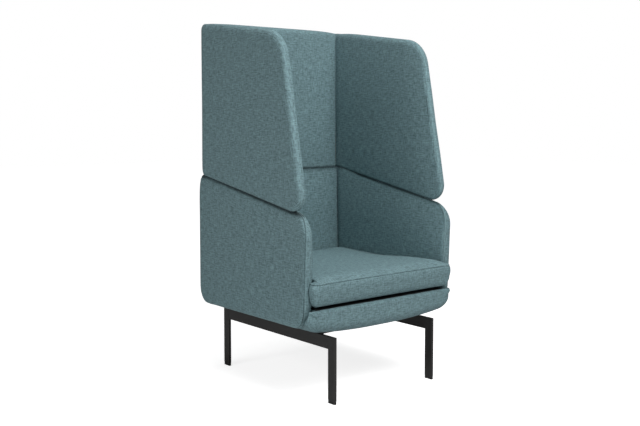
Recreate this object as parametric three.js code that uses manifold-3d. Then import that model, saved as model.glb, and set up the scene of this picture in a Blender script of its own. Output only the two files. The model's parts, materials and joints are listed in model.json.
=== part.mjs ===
// Acoustic high back lounge chair: an upholstered seat shell with a tall wrap-round screen on top of
// it, a loose T-shaped seat cushion, and two flat-bar leg frames.
// Millimetres, +Z up. The sitter faces -Y. The origin is on the floor, under the middle of the chair.

import * as THREE from 'three';
import Module from 'manifold-3d';
import { mergeVertices } from 'three/addons/utils/BufferGeometryUtils.js';

const wasm = await Module();
wasm.setup();

// Clearances
const FIT = 0.3;
const CUT_OVERRUN = 4;
const WELD_TOLERANCE = 0.001;

// Leg frames
const FRAME_HEIGHT = 235;
const FOOTPRINT_SIDE_INSET = 114;
const FOOTPRINT_END_INSET = 22;
const FOOTPRINT_FORWARD = 13;
const BAR_THICKNESS = 10;
const LEG_DEPTH = 36;
const RAIL_HEIGHT = 45;
const GLIDE_HEIGHT = 11;
const GLIDE_INSET = 0.8;
const STRAP_THICKNESS = 5;
const STRAP_DEPTH = 60;
const FRONT_STRAP_Y = -200;
const REAR_STRAP_Y = 160;

// Overall body
const BODY_WIDTH = 720;
const BODY_DEPTH = 726;
const BODY_HEIGHT = 1360;
const SHELL_CORNER_RADIUS = 60;
const ARM_THICKNESS = 42;
const WING_THICKNESS = 34;

// Parting line between the seat shell and the screen
const PARTING_Y = -260;
const PARTING_HEIGHT = 400;
const PARTING_RISE = THREE.MathUtils.degToRad(9.8);
const PARTING_TILT = THREE.MathUtils.degToRad(9);
const PARTING_TILT_REACH = 110;
const BACK_PARTING_LIFT = 14;

// Seat shell
const ARM_DROP = 23;
const ARM_NOSE_SETBACK = 26;
const ARM_FRONT_LEAN = THREE.MathUtils.degToRad(2.4);
const ARM_TOP_RADIUS = 80;
const ARM_FOOT_RADIUS = 50;
const LOWER_BACK_FACE_Y = 290;
const LOWER_BACK_FOOT_Y = 279;
const BAND_WIDTH = 37;
const BAND_THICKNESS = 3;

// Screen
const SCREEN_REAR_SETBACK = 22;
const SCREEN_NOSE_SETBACK = 40;
const SCREEN_FRONT_LEAN = THREE.MathUtils.degToRad(10.9);
const SCREEN_TOP_FALL = THREE.MathUtils.degToRad(7.8);
const SCREEN_TOP_RADIUS = 95;
const SCREEN_FOOT_RADIUS = 55;
const SCREEN_BACK_FACE_Y = 308;

// Layers of the walls, measured inwards from the screen's outer face
const CORE_DEPTH = 12;
const CORE_THICKNESS = 10;
const CORE_SETBACK = 36;

// Roundings of padded edges: how far the edge draws in along the wall, then into the wall
const SCREEN_TOP_EDGE = [40, 18];
const SCREEN_FRONT_EDGE = [20, 17];
const SCREEN_PARTING_EDGE = [42, 20];
const SCREEN_INNER_EDGE = [15, 9];
const SHELL_PARTING_EDGE = [86, 30];
const SHELL_FRONT_EDGE = [9, 7];
const SHELL_FOOT_EDGE = [45, 45];
const SHELL_REAR_FOOT_EDGE = [84, 50];
const SHELL_INNER_EDGE = [8, 6];
const SEWN_EDGE = [3, 3];

// Seat base
const BASE_HEIGHT = 97;
const BASE_NOSE_SETBACK = 5;
const BASE_BOW = 8;
const BASE_EAR_INSET = 7;
const BASE_EAR_LENGTH = 62;
const BASE_CORNER_RADIUS = 38;
const BASE_FOOT_RADIUS = 48;
const BASE_TOP_RADIUS = 14;
const BASE_END_RADIUS = 75;
const BASE_SIDE_CLEARANCE = 3;
const BASE_ARM_CLEARANCE = 2.5;
const BASE_FRONT_PADDING = 74;
const BASE_TOP_PADDING = 12;
const BASE_SIDE_PADDING = 38;
const BASE_REAR_PADDING = 12;
const CLOTH_THICKNESS = 1;
const DECK_THICKNESS = 18;
const BASE_RAIL_THICKNESS = 22;
const BASE_RAIL_HEIGHT = 64;
const FOAM_CLEARANCE = 8;

// Seat cushion
const CUSHION_HEIGHT = 90;
const CUSHION_CROWN = 12;
const CUSHION_EAR_INSET = 19;
const CUSHION_EAR_LENGTH = 33;
const CUSHION_CORNER_RADIUS = 22;
const CUSHION_HEEL_RADIUS = 9;
const CUSHION_SIDE_CLEARANCE = 3;
const CUSHION_REAR_CLEARANCE = 6;
const CUSHION_NOSE_LIFT = 11;
const CUSHION_NOSE_LENGTH = 90;
const CUSHION_TOP_EDGE = [8, 10];
const CUSHION_FOOT_EDGE = [8, 13];
const CUSHION_WAIST = 3;
const CUSHION_COVER = 4;
const CUSHION_MOUTH_SETBACK = 20;

// Tongues, screws and bolts
const TONGUE_WIDTH = 40;
const TONGUE_THICKNESS = 4;
const TONGUE_REACH = 100;
const TONGUE_SIDE_Y = 40;
const TONGUE_BACK_INSET = 210;
const TONGUE_SCREW_INSET = 20;
const SCREW_RADIUS = 3;
const SCREW_HEAD_RADIUS = 6;
const SCREW_HEAD_HEIGHT = 3;
const SCREW_BITE = 8;
const BOLT_RADIUS = 4;
const BOLT_HEAD_RADIUS = 7.5;
const BOLT_HEAD_HEIGHT = 5;
const HOLE_CLEARANCE = 0.4;
const DECK_BOLT_INSET = 66;
const DECK_BOLT_BITE = 14;
const ARM_BOLT_FRONT_Y = -190;
const ARM_BOLT_REAR_Y = 170;
const BACK_BOLT_INSET = 200;
const SHELL_BOLT_RISE = 50;

// Fineness of curves
const CORNER_STEPS = 7;
const BEND_STEPS = 6;
const EDGE_STEPS = 4;
const ROUND_STEPS = 12;
const HEX_SIDES = 6;
const CUSHION_ROWS = 5;
const INNER_EDGE_STEPS = 2;
const INNER_CUSHION_ROWS = 4;

// Where the paired points of a side start, as shares of its front edge's height
const UPPER_FRONT_SHARE = 0.55;
const LOWER_FRONT_SHARE = 0.4;

// Places that follow from the sizes
const halfWidth = BODY_WIDTH / 2;
const rearY = BODY_DEPTH / 2;
const frontY = -rearY;
const innerX = halfWidth - ARM_THICKNESS;
const footprintX = halfWidth - FOOTPRINT_SIDE_INSET;
const footprintDepth = BODY_DEPTH - 2 * FOOTPRINT_END_INSET;
const baseEarX = halfWidth - BASE_EAR_INSET;
const cushionEarX = halfWidth - CUSHION_EAR_INSET;
const tongueBackX = halfWidth - TONGUE_BACK_INSET;
const wingInnerX = halfWidth - WING_THICKNESS;
const strapTopZ = FRAME_HEIGHT + FIT + STRAP_THICKNESS;
const baseBottomZ = strapTopZ + FIT;
const bodyBottomZ = baseBottomZ + DECK_THICKNESS + FIT;
const baseTopZ = baseBottomZ + BASE_HEIGHT;
const shellBottomZ = baseBottomZ + ARM_DROP;
const cushionBottomZ = baseTopZ + FIT;
const cushionTopZ = cushionBottomZ + CUSHION_HEIGHT;
const layerDepth = CORE_DEPTH + CORE_THICKNESS;
const layerX = halfWidth - layerDepth;
const layerY = rearY - SCREEN_REAR_SETBACK - layerDepth;
const bandDrop = BAND_THICKNESS + FIT;
const bendY = rearY - SCREEN_REAR_SETBACK - SHELL_CORNER_RADIUS;
const wallBlankDepth = SHELL_CORNER_RADIUS - 2 * BAND_THICKNESS;
// The parting line climbs along the sides and runs level round the back
const partingZ = (y) => (
  shellBottomZ + PARTING_HEIGHT + (Math.min(y, bendY) - PARTING_Y) * Math.tan(PARTING_RISE)
);
const screenTopZ = (y) => (
  BODY_HEIGHT - (rearY - SCREEN_REAR_SETBACK - y) * Math.tan(SCREEN_TOP_FALL)
);

// Materials
const fabricOuter = { color: 0x3f5a62, roughness: 0.95, metalness: 0 };
const fabricInner = { color: 0x4d7078, roughness: 0.95, metalness: 0 };
const blackSteel = { color: 0x1d1b1a, roughness: 0.5, metalness: 0.6 };
const zincSteel = { color: 0x9a9ca0, roughness: 0.35, metalness: 0.9 };
const blackPlastic = { color: 0x141414, roughness: 0.6, metalness: 0 };
const plywood = { color: 0xc7a477, roughness: 0.7, metalness: 0 };
const timber = { color: 0xd2b48c, roughness: 0.75, metalness: 0 };
const foam = { color: 0xe6dfc8, roughness: 0.9, metalness: 0 };
const liningCloth = { color: 0x242628, roughness: 0.95, metalness: 0 };

const chair = new THREE.Group();

function addPiece(name, geometry, look) {
  const piece = new THREE.Mesh(geometry, new THREE.MeshStandardMaterial(look));
  piece.name = name;
  chair.add(piece);
  return piece;
}

// Solids: cutting and joining
function toSolid(geometry) {
  const bare = geometry.clone();
  bare.deleteAttribute('normal');
  bare.deleteAttribute('uv');
  const merged = mergeVertices(bare, WELD_TOLERANCE);
  return new wasm.Manifold(new wasm.Mesh({
    numProp: 3,
    vertProperties: merged.getAttribute('position').array,
    triVerts: new Uint32Array(merged.index.array),
  }));
}

function toGeometry(solid) {
  const mesh = solid.getMesh();
  const geometry = new THREE.BufferGeometry();
  geometry.setAttribute('position', new THREE.BufferAttribute(mesh.vertProperties, 3));
  geometry.setIndex(new THREE.BufferAttribute(mesh.triVerts, 1));
  geometry.computeVertexNormals();
  return geometry;
}

// Turns every face outwards, whichever way round its outline was walked
function facingOut(positions, faces) {
  const corners = [0, 1, 2].map(() => new THREE.Vector3());
  let volume = 0;
  for (let i = 0; i < faces.length; i += 3) {
    corners.forEach((corner, k) => corner.fromArray(positions, faces[i + k] * 3));
    volume += corners[0].dot(corners[1].cross(corners[2]));
  }
  return volume < 0 ? [...faces].reverse() : faces;
}

function boxBetween(low, high) {
  const size = new THREE.Vector3().subVectors(high, low);
  const middle = new THREE.Vector3().addVectors(low, high).multiplyScalar(1 / 2);
  return new THREE.BoxGeometry(size.x, size.y, size.z).translate(middle.x, middle.y, middle.z);
}

function box(x0, x1, y0, y1, z0, z1) {
  return boxBetween(new THREE.Vector3(x0, y0, z0), new THREE.Vector3(x1, y1, z1));
}

// A round bar from one point towards another
function barGeometry(from, to, radius, sides = ROUND_STEPS) {
  const run = new THREE.Vector3().subVectors(to, from);
  const bar = new THREE.CylinderGeometry(radius, radius, run.length(), sides);
  bar.translate(0, run.length() / 2, 0);
  const turn = new THREE.Quaternion().setFromUnitVectors(THREE.Object3D.DEFAULT_UP, run.normalize());
  return bar.applyQuaternion(turn).translate(from.x, from.y, from.z);
}

// A plan outline raised from z0 to z1
function raised(points, z0, z1) {
  return new THREE.ExtrudeGeometry(new THREE.Shape(points), { depth: z1 - z0, bevelEnabled: false })
    .translate(0, 0, z0);
}

// A side outline, in Y and Z, carried across from x0 to x1
function carriedAcross(points, x0, x1) {
  const across = new THREE.ExtrudeGeometry(new THREE.Shape(points), { depth: x1 - x0, bevelEnabled: false });
  const axes = new THREE.Matrix4().makeBasis(
    new THREE.Vector3(0, 1, 0), new THREE.Vector3(0, 0, 1), new THREE.Vector3(1, 0, 0),
  );
  return across.applyMatrix4(axes).translate(x0, 0, 0);
}

// A front outline, in X and Z, carried along Y from y0 to y1
function carriedForward(points, y0, y1) {
  const along = new THREE.ExtrudeGeometry(new THREE.Shape(points), { depth: y1 - y0, bevelEnabled: false });
  const axes = new THREE.Matrix4().makeBasis(
    new THREE.Vector3(1, 0, 0), new THREE.Vector3(0, 0, 1), new THREE.Vector3(0, -1, 0),
  );
  return along.applyMatrix4(axes).translate(0, y1, 0);
}

// The parting climbs towards the sitter through the walls' thickness, and whatever meets it tilts alike
function tiltParting(geometry) {
  const places = geometry.getAttribute('position');
  for (let k = 0; k < places.count; k += 1) {
    const [x, y, z] = [places.getX(k), places.getY(k), places.getZ(k)];
    const depth = Math.max(Math.min(halfWidth - Math.abs(x), rearY - SCREEN_REAR_SETBACK - y), 0);
    const nearness = Math.max(1 - Math.abs(z - partingZ(y)) / PARTING_TILT_REACH, 0);
    places.setZ(k, z + Math.min(depth, ARM_THICKNESS) * Math.tan(PARTING_TILT) * nearness);
  }
  return geometry;
}

// Outlines
const point = (u, v) => new THREE.Vector2(u, v);

function crossing(start, direction, otherStart, otherDirection) {
  const gap = otherStart.clone().sub(start);
  const reach = gap.cross(otherDirection) / direction.cross(otherDirection);
  return start.clone().addScaledVector(direction, reach);
}

// The points of a rounded corner, from the side of `before` to the side of `after`
function roundedCorner(before, corner, after, radius, steps = CORNER_STEPS) {
  const toBefore = before.clone().sub(corner).normalize();
  const toAfter = after.clone().sub(corner).normalize();
  const half = toBefore.angleTo(toAfter) / 2;
  const start = corner.clone().addScaledVector(toBefore, radius / Math.tan(half));
  const bisector = toBefore.clone().add(toAfter).normalize();
  const centre = corner.clone().addScaledVector(bisector, radius / Math.sin(half));
  const sweep = (Math.PI - 2 * half) * Math.sign(toAfter.cross(toBefore));
  const points = [];
  for (let k = 0; k <= steps; k += 1) {
    points.push(start.clone().rotateAround(centre, sweep * k / steps));
  }
  return points;
}

// Each point of a padded outline carries the rounding of its edge
const withEdge = (at, edge) => ({ at, edge });

function blendEdges(points, first, last) {
  const end = points.length - 1;
  return points.map((at, k) => {
    const share = k / end;
    return withEdge(at, [0, 1].map((part) => first[part] * (1 - share) + last[part] * share));
  });
}

// A padded slab. Its outline is two rows of paired points, walked alike. The face lies at depth 0 and
// the back at the full depth; a waist draws the walls in half way between them.
function paddedSlab({
  tops, bottoms, depth, place, backEdge = null, waist = 0, rows = 1, edgeSteps = EDGE_STEPS,
}) {
  const outline = [...tops, ...[...bottoms].reverse()];
  const count = outline.length;
  const inward = outline.map((entry, k) => inwardNormal(outline, k));
  const flats = [];
  const faces = [];
  const addRing = (inset, level) => {
    outline.forEach((entry, k) => {
      const at = entry.at.clone().addScaledVector(inward[k], inset(entry));
      flats.push(new THREE.Vector3(at.x, at.y, level(entry)));
    });
  };
  for (let k = 0; k <= edgeSteps; k += 1) {
    const turn = (k / edgeSteps) * (Math.PI / 2);
    addRing((e) => e.edge[0] * (1 - Math.sin(turn)), (e) => e.edge[1] * (1 - Math.cos(turn)));
  }
  if (waist > 0) {
    addRing(() => waist, () => depth / 2);
  }
  if (backEdge) {
    for (let k = edgeSteps; k >= 0; k -= 1) {
      const turn = (k / edgeSteps) * (Math.PI / 2);
      addRing(() => backEdge[0] * (1 - Math.sin(turn)), () => depth - backEdge[1] * (1 - Math.cos(turn)));
    }
  } else {
    addRing(() => 0, () => depth);
  }
  const rings = flats.length / count;
  for (let ring = 0; ring + 1 < rings; ring += 1) {
    const [here, beyond] = [ring * count, (ring + 1) * count];
    for (let k = 0; k < count; k += 1) {
      const next = (k + 1) % count;
      addQuad(faces, here + k, here + next, beyond + next, beyond + k);
    }
  }
  addCap({ flats, faces, start: 0, count, rows, flip: true });
  addCap({ flats, faces, start: (rings - 1) * count, count, rows, flip: false });
  const positions = flats.flatMap(({ x, y, z }) => place(x, y, z).toArray());
  const geometry = new THREE.BufferGeometry();
  geometry.setAttribute('position', new THREE.Float32BufferAttribute(positions, 3));
  geometry.setIndex(facingOut(positions, faces));
  return geometry;
}

function inwardNormal(outline, k) {
  const count = outline.length;
  const here = outline[k].at;
  const fromLast = here.clone().sub(outline[(k + count - 1) % count].at).normalize();
  const toNext = outline[(k + 1) % count].at.clone().sub(here).normalize();
  const sum = point(fromLast.y + toNext.y, -fromLast.x - toNext.x);
  return sum.multiplyScalar(1 / (1 + fromLast.dot(toNext)));
}

function addTriangle(faces, a, b, c) {
  if (a !== b && b !== c && c !== a) {
    faces.push(a, b, c);
  }
}

function addQuad(faces, a, b, c, d) {
  addTriangle(faces, a, b, c);
  addTriangle(faces, a, c, d);
}

// Closes a ring with rungs from each top point to its paired bottom point. The first and the last rung
// are edges of the ring itself, so they take no points between.
function addCap({ flats, faces, start, count, rows, flip }) {
  const pairs = count / 2;
  const ids = [];
  for (let k = 0; k < pairs; k += 1) {
    const top = start + k;
    const bottom = start + count - 1 - k;
    const rung = [top];
    const isEnd = k === 0 || k === pairs - 1;
    for (let row = 1; row < rows; row += 1) {
      const share = row / rows;
      if (isEnd) {
        rung.push(2 * row < rows ? top : bottom);
        continue;
      }
      rung.push(flats.length);
      flats.push(flats[top].clone().lerp(flats[bottom], share));
    }
    rung.push(bottom);
    ids.push(rung);
  }
  for (let k = 0; k + 1 < pairs; k += 1) {
    for (let row = 0; row < rows; row += 1) {
      const corners = [ids[k][row], ids[k + 1][row], ids[k + 1][row + 1], ids[k][row + 1]];
      addQuad(faces, ...(flip ? corners.reverse() : corners));
    }
  }
}

// The plan of a wrap-round wall: a straight back, two bends and two straight sides. A run is counted
// along the outer face from the middle of the back, negative on the -X side.
function wrapRound(rear, radius = SHELL_CORNER_RADIUS) {
  const flat = halfWidth - radius;
  const bend = radius * Math.PI / 2;
  const bendY = rear - radius;
  const turnAt = (run) => THREE.MathUtils.clamp((Math.abs(run) - flat) / radius, 0, Math.PI / 2);
  const past = (run) => Math.max(Math.abs(run) - flat - bend, 0);
  return {
    flat,
    bend,
    bendY,
    runAt: (y) => flat + bend + bendY - y,
    yAt: (run) => bendY + radius * Math.cos(turnAt(run)) - past(run),
    place: (run, z, depth) => new THREE.Vector3(
      Math.sign(run) * (Math.min(Math.abs(run), flat) + (radius - depth) * Math.sin(turnAt(run))),
      bendY + (radius - depth) * Math.cos(turnAt(run)) - past(run),
      z,
    ),
  };
}

// The paired outline of a wrap-round wall, from its -X front edge to its +X front edge. `side` holds
// one side's paired points in Y and Z, up to the start of the bend.
function wrapOutline(wall, side, upperZ, lowerZ) {
  const last = side.tops.length - 1;
  const bendRuns = [];
  for (let k = 1; k <= BEND_STEPS; k += 1) {
    bendRuns.push(wall.flat + wall.bend * (1 - k / BEND_STEPS));
  }
  const half = (row, height) => [
    ...row.map(({ at, edge }) => withEdge(point(-wall.runAt(at.x), at.y), edge)),
    ...bendRuns.map((run) => withEdge(point(-run, height(wall.yAt(run))), row[last].edge)),
  ];
  const whole = (row, height) => {
    const left = half(row, height);
    const right = left.map(({ at, edge }) => withEdge(point(-at.x, at.y), edge)).reverse();
    return [...left, ...right];
  };
  return { tops: whole(side.tops, upperZ), bottoms: whole(side.bottoms, lowerZ) };
}

const screenWall = wrapRound(rearY - SCREEN_REAR_SETBACK);
const shellWall = wrapRound(rearY);
const alongParting = point(Math.cos(PARTING_RISE), Math.sin(PARTING_RISE));

// One side of the screen, in Y and Z, from its front edge back to the bend
function screenSide({ setback = 0, partingSetback = FIT, topEdge, frontEdge, partingEdge }) {
  const noseY = frontY + SCREEN_NOSE_SETBACK;
  const upFront = point(Math.sin(SCREEN_FRONT_LEAN), Math.cos(SCREEN_FRONT_LEAN));
  const front = point(noseY + setback / Math.cos(SCREEN_FRONT_LEAN), partingZ(noseY));
  const topEnd = point(bendY, screenTopZ(bendY) - setback);
  const alongTop = point(Math.cos(SCREEN_TOP_FALL), Math.sin(SCREEN_TOP_FALL));
  const partingEnd = point(bendY, partingZ(bendY) + partingSetback);
  const topCorner = crossing(front, upFront, topEnd, alongTop);
  const footCorner = crossing(front, upFront, partingEnd, alongParting);
  return sideOutline({
    topEnd, topCorner, topRadius: SCREEN_TOP_RADIUS - setback, topEdge,
    footEnd: partingEnd, footCorner, footRadius: SCREEN_FOOT_RADIUS - setback, footEdge: partingEdge,
    frontEdge,
  });
}

// One arm of the seat shell, in Y and Z, from its front edge back to the bend
function armSide({ setback, partingEdge, frontEdge, footEdge }) {
  const noseY = frontY + ARM_NOSE_SETBACK;
  const downFront = point(Math.sin(ARM_FRONT_LEAN), -Math.cos(ARM_FRONT_LEAN));
  const front = point(noseY + setback / Math.cos(ARM_FRONT_LEAN), partingZ(noseY));
  const partingEnd = point(bendY, partingZ(bendY) - setback);
  const footEnd = point(bendY, shellBottomZ + setback);
  const topCorner = crossing(front, downFront, partingEnd, alongParting);
  const footCorner = crossing(front, downFront, footEnd, point(1, 0));
  return sideOutline({
    topEnd: partingEnd, topCorner, topRadius: ARM_TOP_RADIUS - setback, topEdge: partingEdge,
    footEnd, footCorner, footRadius: ARM_FOOT_RADIUS - setback, footEdge,
    frontEdge,
  });
}

// Pairs the upper and the lower half of a side that has two rounded front corners
function sideOutline({
  topEnd, topCorner, topRadius, topEdge, footEnd, footCorner, footRadius, footEdge, frontEdge,
}) {
  const upperFront = footCorner.clone().lerp(topCorner, UPPER_FRONT_SHARE);
  const lowerFront = footCorner.clone().lerp(topCorner, LOWER_FRONT_SHARE);
  const upper = roundedCorner(upperFront, topCorner, topEnd, topRadius);
  const lower = roundedCorner(lowerFront, footCorner, footEnd, footRadius);
  return {
    tops: [
      withEdge(upperFront, frontEdge),
      ...blendEdges(upper, frontEdge, topEdge),
      withEdge(topEnd, topEdge),
    ],
    bottoms: [
      withEdge(lowerFront, frontEdge),
      ...blendEdges(lower, frontEdge, footEdge),
      withEdge(footEnd, footEdge),
    ],
  };
}

// Carries a side on, level with its end, from the bend to `endY`
function extendedSide({ tops, bottoms }, endY, topZ) {
  const topEdge = tops[tops.length - 1].edge;
  const foot = bottoms[bottoms.length - 1];
  return {
    tops: [...tops, withEdge(point(endY, topZ), topEdge)],
    bottoms: [...bottoms, withEdge(point(endY, foot.at.y), foot.edge)],
  };
}

// The room inside the core layer, with rounded rear corners; `grow` shrinks or widens it
function innerRoom(grow) {
  const x = layerX + grow;
  const y = layerY + grow;
  const radius = SHELL_CORNER_RADIUS - layerDepth + grow;
  const front = frontY - CUT_OVERRUN;
  const plan = [
    point(-x, front),
    point(x, front),
    ...roundedCorner(point(x, front), point(x, y), point(-x, y), radius, BEND_STEPS),
    ...roundedCorner(point(x, y), point(-x, y), point(-x, front), radius, BEND_STEPS),
  ];
  return toSolid(raised(plan, -CUT_OVERRUN, BODY_HEIGHT + CUT_OVERRUN));
}

// A moulded plywood core that follows the screen's plan; `grow` makes the pocket that holds it
function coreSolid(side, upperZ, lowerZ, grow) {
  const outline = wrapOutline(screenWall, side, upperZ, lowerZ);
  const slab = paddedSlab({
    ...outline,
    depth: CORE_THICKNESS + 2 * grow,
    place: (run, z, depth) => screenWall.place(run, z, CORE_DEPTH - grow + depth),
    edgeSteps: 1,
  });
  return toSolid(slab);
}

const crisp = [FIT, FIT];

function screenCore(grow) {
  const setback = CORE_SETBACK - grow;
  const side = screenSide({
    setback, partingSetback: setback, topEdge: crisp, frontEdge: crisp, partingEdge: crisp,
  });
  return coreSolid(side, (y) => screenTopZ(y) - setback, (y) => partingZ(y) + setback, grow);
}

function shellCore(grow) {
  const setback = CORE_SETBACK - grow;
  const side = armSide({ setback, partingEdge: crisp, frontEdge: crisp, footEdge: crisp });
  return coreSolid(side, (y) => partingZ(y) - setback, () => shellBottomZ + setback, grow);
}

// Screws, bolts and the tongues that carry the screen
const tongueSeats = [
  { name: 'left', at: point(-layerX, TONGUE_SIDE_Y), out: point(-1, 0) },
  { name: 'right', at: point(layerX, TONGUE_SIDE_Y), out: point(1, 0) },
  { name: 'back_left', at: point(-tongueBackX, layerY), out: point(0, 1) },
  { name: 'back_right', at: point(tongueBackX, layerY), out: point(0, 1) },
];

function tongueBox(seat, depth, spare) {
  const along = TONGUE_WIDTH / 2 + spare;
  const middleZ = partingZ(seat.at.y);
  const start = seat.at.clone().addScaledVector(seat.out, -FIT);
  const end = seat.at.clone().addScaledVector(seat.out, -FIT - depth);
  const spread = point(Math.abs(seat.out.y), Math.abs(seat.out.x)).multiplyScalar(along);
  const low = point(Math.min(start.x, end.x), Math.min(start.y, end.y)).sub(spread);
  const high = point(Math.max(start.x, end.x), Math.max(start.y, end.y)).add(spread);
  const reach = TONGUE_REACH + spare;
  return box(low.x, high.x, low.y, high.y, middleZ - reach, middleZ + reach);
}

function tongueScrewAxes(seat) {
  const rise = TONGUE_REACH - TONGUE_SCREW_INSET;
  return [{ name: 'upper', z: partingZ(seat.at.y) + rise }, { name: 'lower', z: partingZ(seat.at.y) - rise }]
    .map(({ name, z }) => ({
      name: `${name}_screw_${seat.name}`,
      head: new THREE.Vector3(seat.at.x, seat.at.y, z)
        .add(new THREE.Vector3(-seat.out.x, -seat.out.y, 0).multiplyScalar(2 * FIT + TONGUE_THICKNESS)),
      inward: new THREE.Vector3(seat.out.x, seat.out.y, 0),
      reach: 2 * FIT + TONGUE_THICKNESS + SCREW_BITE,
      radius: SCREW_RADIUS,
      headRadius: SCREW_HEAD_RADIUS,
      headHeight: SCREW_HEAD_HEIGHT,
    }));
}

const tongueScrews = tongueSeats.flatMap(tongueScrewAxes);

const baseRailBottomZ = bodyBottomZ + CLOTH_THICKNESS + FIT;
const shellBoltZ = baseRailBottomZ + SHELL_BOLT_RISE;
const pocketX = innerX - BASE_SIDE_CLEARANCE - BASE_SIDE_PADDING;
const baseRearY = LOWER_BACK_FOOT_Y - BASE_SIDE_CLEARANCE;
const pocketRearY = baseRearY - BASE_REAR_PADDING;
const baseRailInnerX = pocketX - FIT - BASE_RAIL_THICKNESS;
const baseRailInnerY = pocketRearY - FIT - BASE_RAIL_THICKNESS;

function shellBolt(name, head, inward, target) {
  return {
    name,
    head,
    inward,
    reach: target - FIT,
    radius: BOLT_RADIUS,
    headRadius: BOLT_HEAD_RADIUS,
    headHeight: BOLT_HEAD_HEIGHT,
  };
}

const armReach = layerX + CORE_THICKNESS - baseRailInnerX;
const backReach = layerY + CORE_THICKNESS - baseRailInnerY;
const shellBolts = [
  ...[['left', -1], ['right', 1]].flatMap(([side, sign]) => (
    [['front', ARM_BOLT_FRONT_Y], ['rear', ARM_BOLT_REAR_Y]].map(([end, y]) => shellBolt(
      `arm_bolt_${side}_${end}`,
      new THREE.Vector3(sign * (baseRailInnerX - FIT), y, shellBoltZ),
      new THREE.Vector3(sign, 0, 0),
      armReach,
    ))
  )),
  ...[['left', -1], ['right', 1]].map(([side, sign]) => shellBolt(
    `back_bolt_${side}`,
    new THREE.Vector3(sign * (halfWidth - BACK_BOLT_INSET), baseRailInnerY - FIT, shellBoltZ),
    new THREE.Vector3(0, 1, 0),
    backReach,
  )),
];

const deckBolts = [['left', -1], ['right', 1]].flatMap(([side, sign]) => (
  [['front', FRONT_STRAP_Y], ['rear', REAR_STRAP_Y]].map(([end, y]) => ({
    name: `deck_bolt_${side}_${end}`,
    head: new THREE.Vector3(sign * (footprintX - DECK_BOLT_INSET), y, FRAME_HEIGHT),
    inward: new THREE.Vector3(0, 0, 1),
    reach: baseBottomZ - FRAME_HEIGHT + DECK_BOLT_BITE,
    radius: BOLT_RADIUS,
    headRadius: BOLT_HEAD_RADIUS,
    headHeight: BOLT_HEAD_HEIGHT,
  }))
));

function fastener({ head, inward, reach, radius, headRadius, headHeight }, sides) {
  const tip = head.clone().addScaledVector(inward, reach);
  const headTop = head.clone().addScaledVector(inward, -headHeight);
  const shank = toSolid(barGeometry(headTop, tip, radius));
  return toGeometry(shank.add(toSolid(barGeometry(headTop, head, headRadius, sides))));
}

// The hole that a fastener's shank runs in
function holeFor({ head, inward, reach, radius }) {
  const start = head.clone().addScaledVector(inward, -CUT_OVERRUN);
  const end = head.clone().addScaledVector(inward, reach + FIT);
  return toSolid(barGeometry(start, end, radius + HOLE_CLEARANCE));
}

const withHoles = (solid, fasteners) => fasteners.reduce((left, one) => left.subtract(holeFor(one)), solid);

// The pocket that a tongue and its screw heads lie in
const tonguePocket = (seat) => toSolid(
  tongueBox(seat, TONGUE_THICKNESS + SCREW_HEAD_HEIGHT + 2 * FIT, CUT_OVERRUN),
);

// Leg frames
function addLegFrames() {
  const frontLegY = -FOOTPRINT_FORWARD - footprintDepth / 2;
  const rearLegY = frontLegY + footprintDepth;
  for (const [side, sign] of [['left', -1], ['right', 1]]) {
    const outerX = sign * footprintX;
    const [x0, x1] = [outerX, outerX - sign * BAR_THICKNESS].sort((a, b) => a - b);
    const railY = [frontLegY + LEG_DEPTH + FIT, rearLegY - LEG_DEPTH - FIT];
    addPiece(`${side}_rail`, box(x0, x1, ...railY, FRAME_HEIGHT - RAIL_HEIGHT, FRAME_HEIGHT), blackSteel);
    for (const [end, y] of [['front', frontLegY], ['rear', rearLegY - LEG_DEPTH]]) {
      addPiece(
        `${end}_${side}_leg`, box(x0, x1, y, y + LEG_DEPTH, GLIDE_HEIGHT + FIT, FRAME_HEIGHT), blackSteel,
      );
      addPiece(`${end}_${side}_glide`, box(
        x0 + GLIDE_INSET, x1 - GLIDE_INSET, y + GLIDE_INSET, y + LEG_DEPTH - GLIDE_INSET, 0, GLIDE_HEIGHT,
      ), blackPlastic);
    }
  }
  for (const [end, y] of [['front', FRONT_STRAP_Y], ['rear', REAR_STRAP_Y]]) {
    const strap = toSolid(box(
      -footprintX, footprintX, y - STRAP_DEPTH / 2, y + STRAP_DEPTH / 2,
      FRAME_HEIGHT + FIT, strapTopZ,
    ));
    addPiece(`${end}_cross_strap`, toGeometry(withHoles(strap, deckBolts)), blackSteel);
  }
  for (const bolt of deckBolts) {
    addPiece(bolt.name, fastener(bolt, HEX_SIDES), zincSteel);
  }
}

// Seat base
function basePlan() {
  const bodyX = innerX - BASE_SIDE_CLEARANCE;
  const earX = baseEarX;
  const noseY = frontY + BASE_NOSE_SETBACK;
  const earRearY = noseY + BASE_EAR_LENGTH;
  const cornerY = noseY + BASE_BOW;
  const corner = roundedCorner(
    point(-earX, earRearY), point(-earX, cornerY), point(0, cornerY), BASE_CORNER_RADIUS,
  );
  const bow = new THREE.QuadraticBezierCurve(
    corner[corner.length - 1], point(-bodyX / 2, noseY), point(0, noseY),
  ).getPoints(CORNER_STEPS).slice(1);
  const heel = [point(-bodyX, baseRearY), point(-bodyX, earRearY), point(-earX, earRearY)];
  const left = [...heel, ...corner, ...bow];
  const right = left.slice(0, -1).reverse().map((at) => point(-at.x, at.y));
  return [...left, ...right];
}

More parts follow.
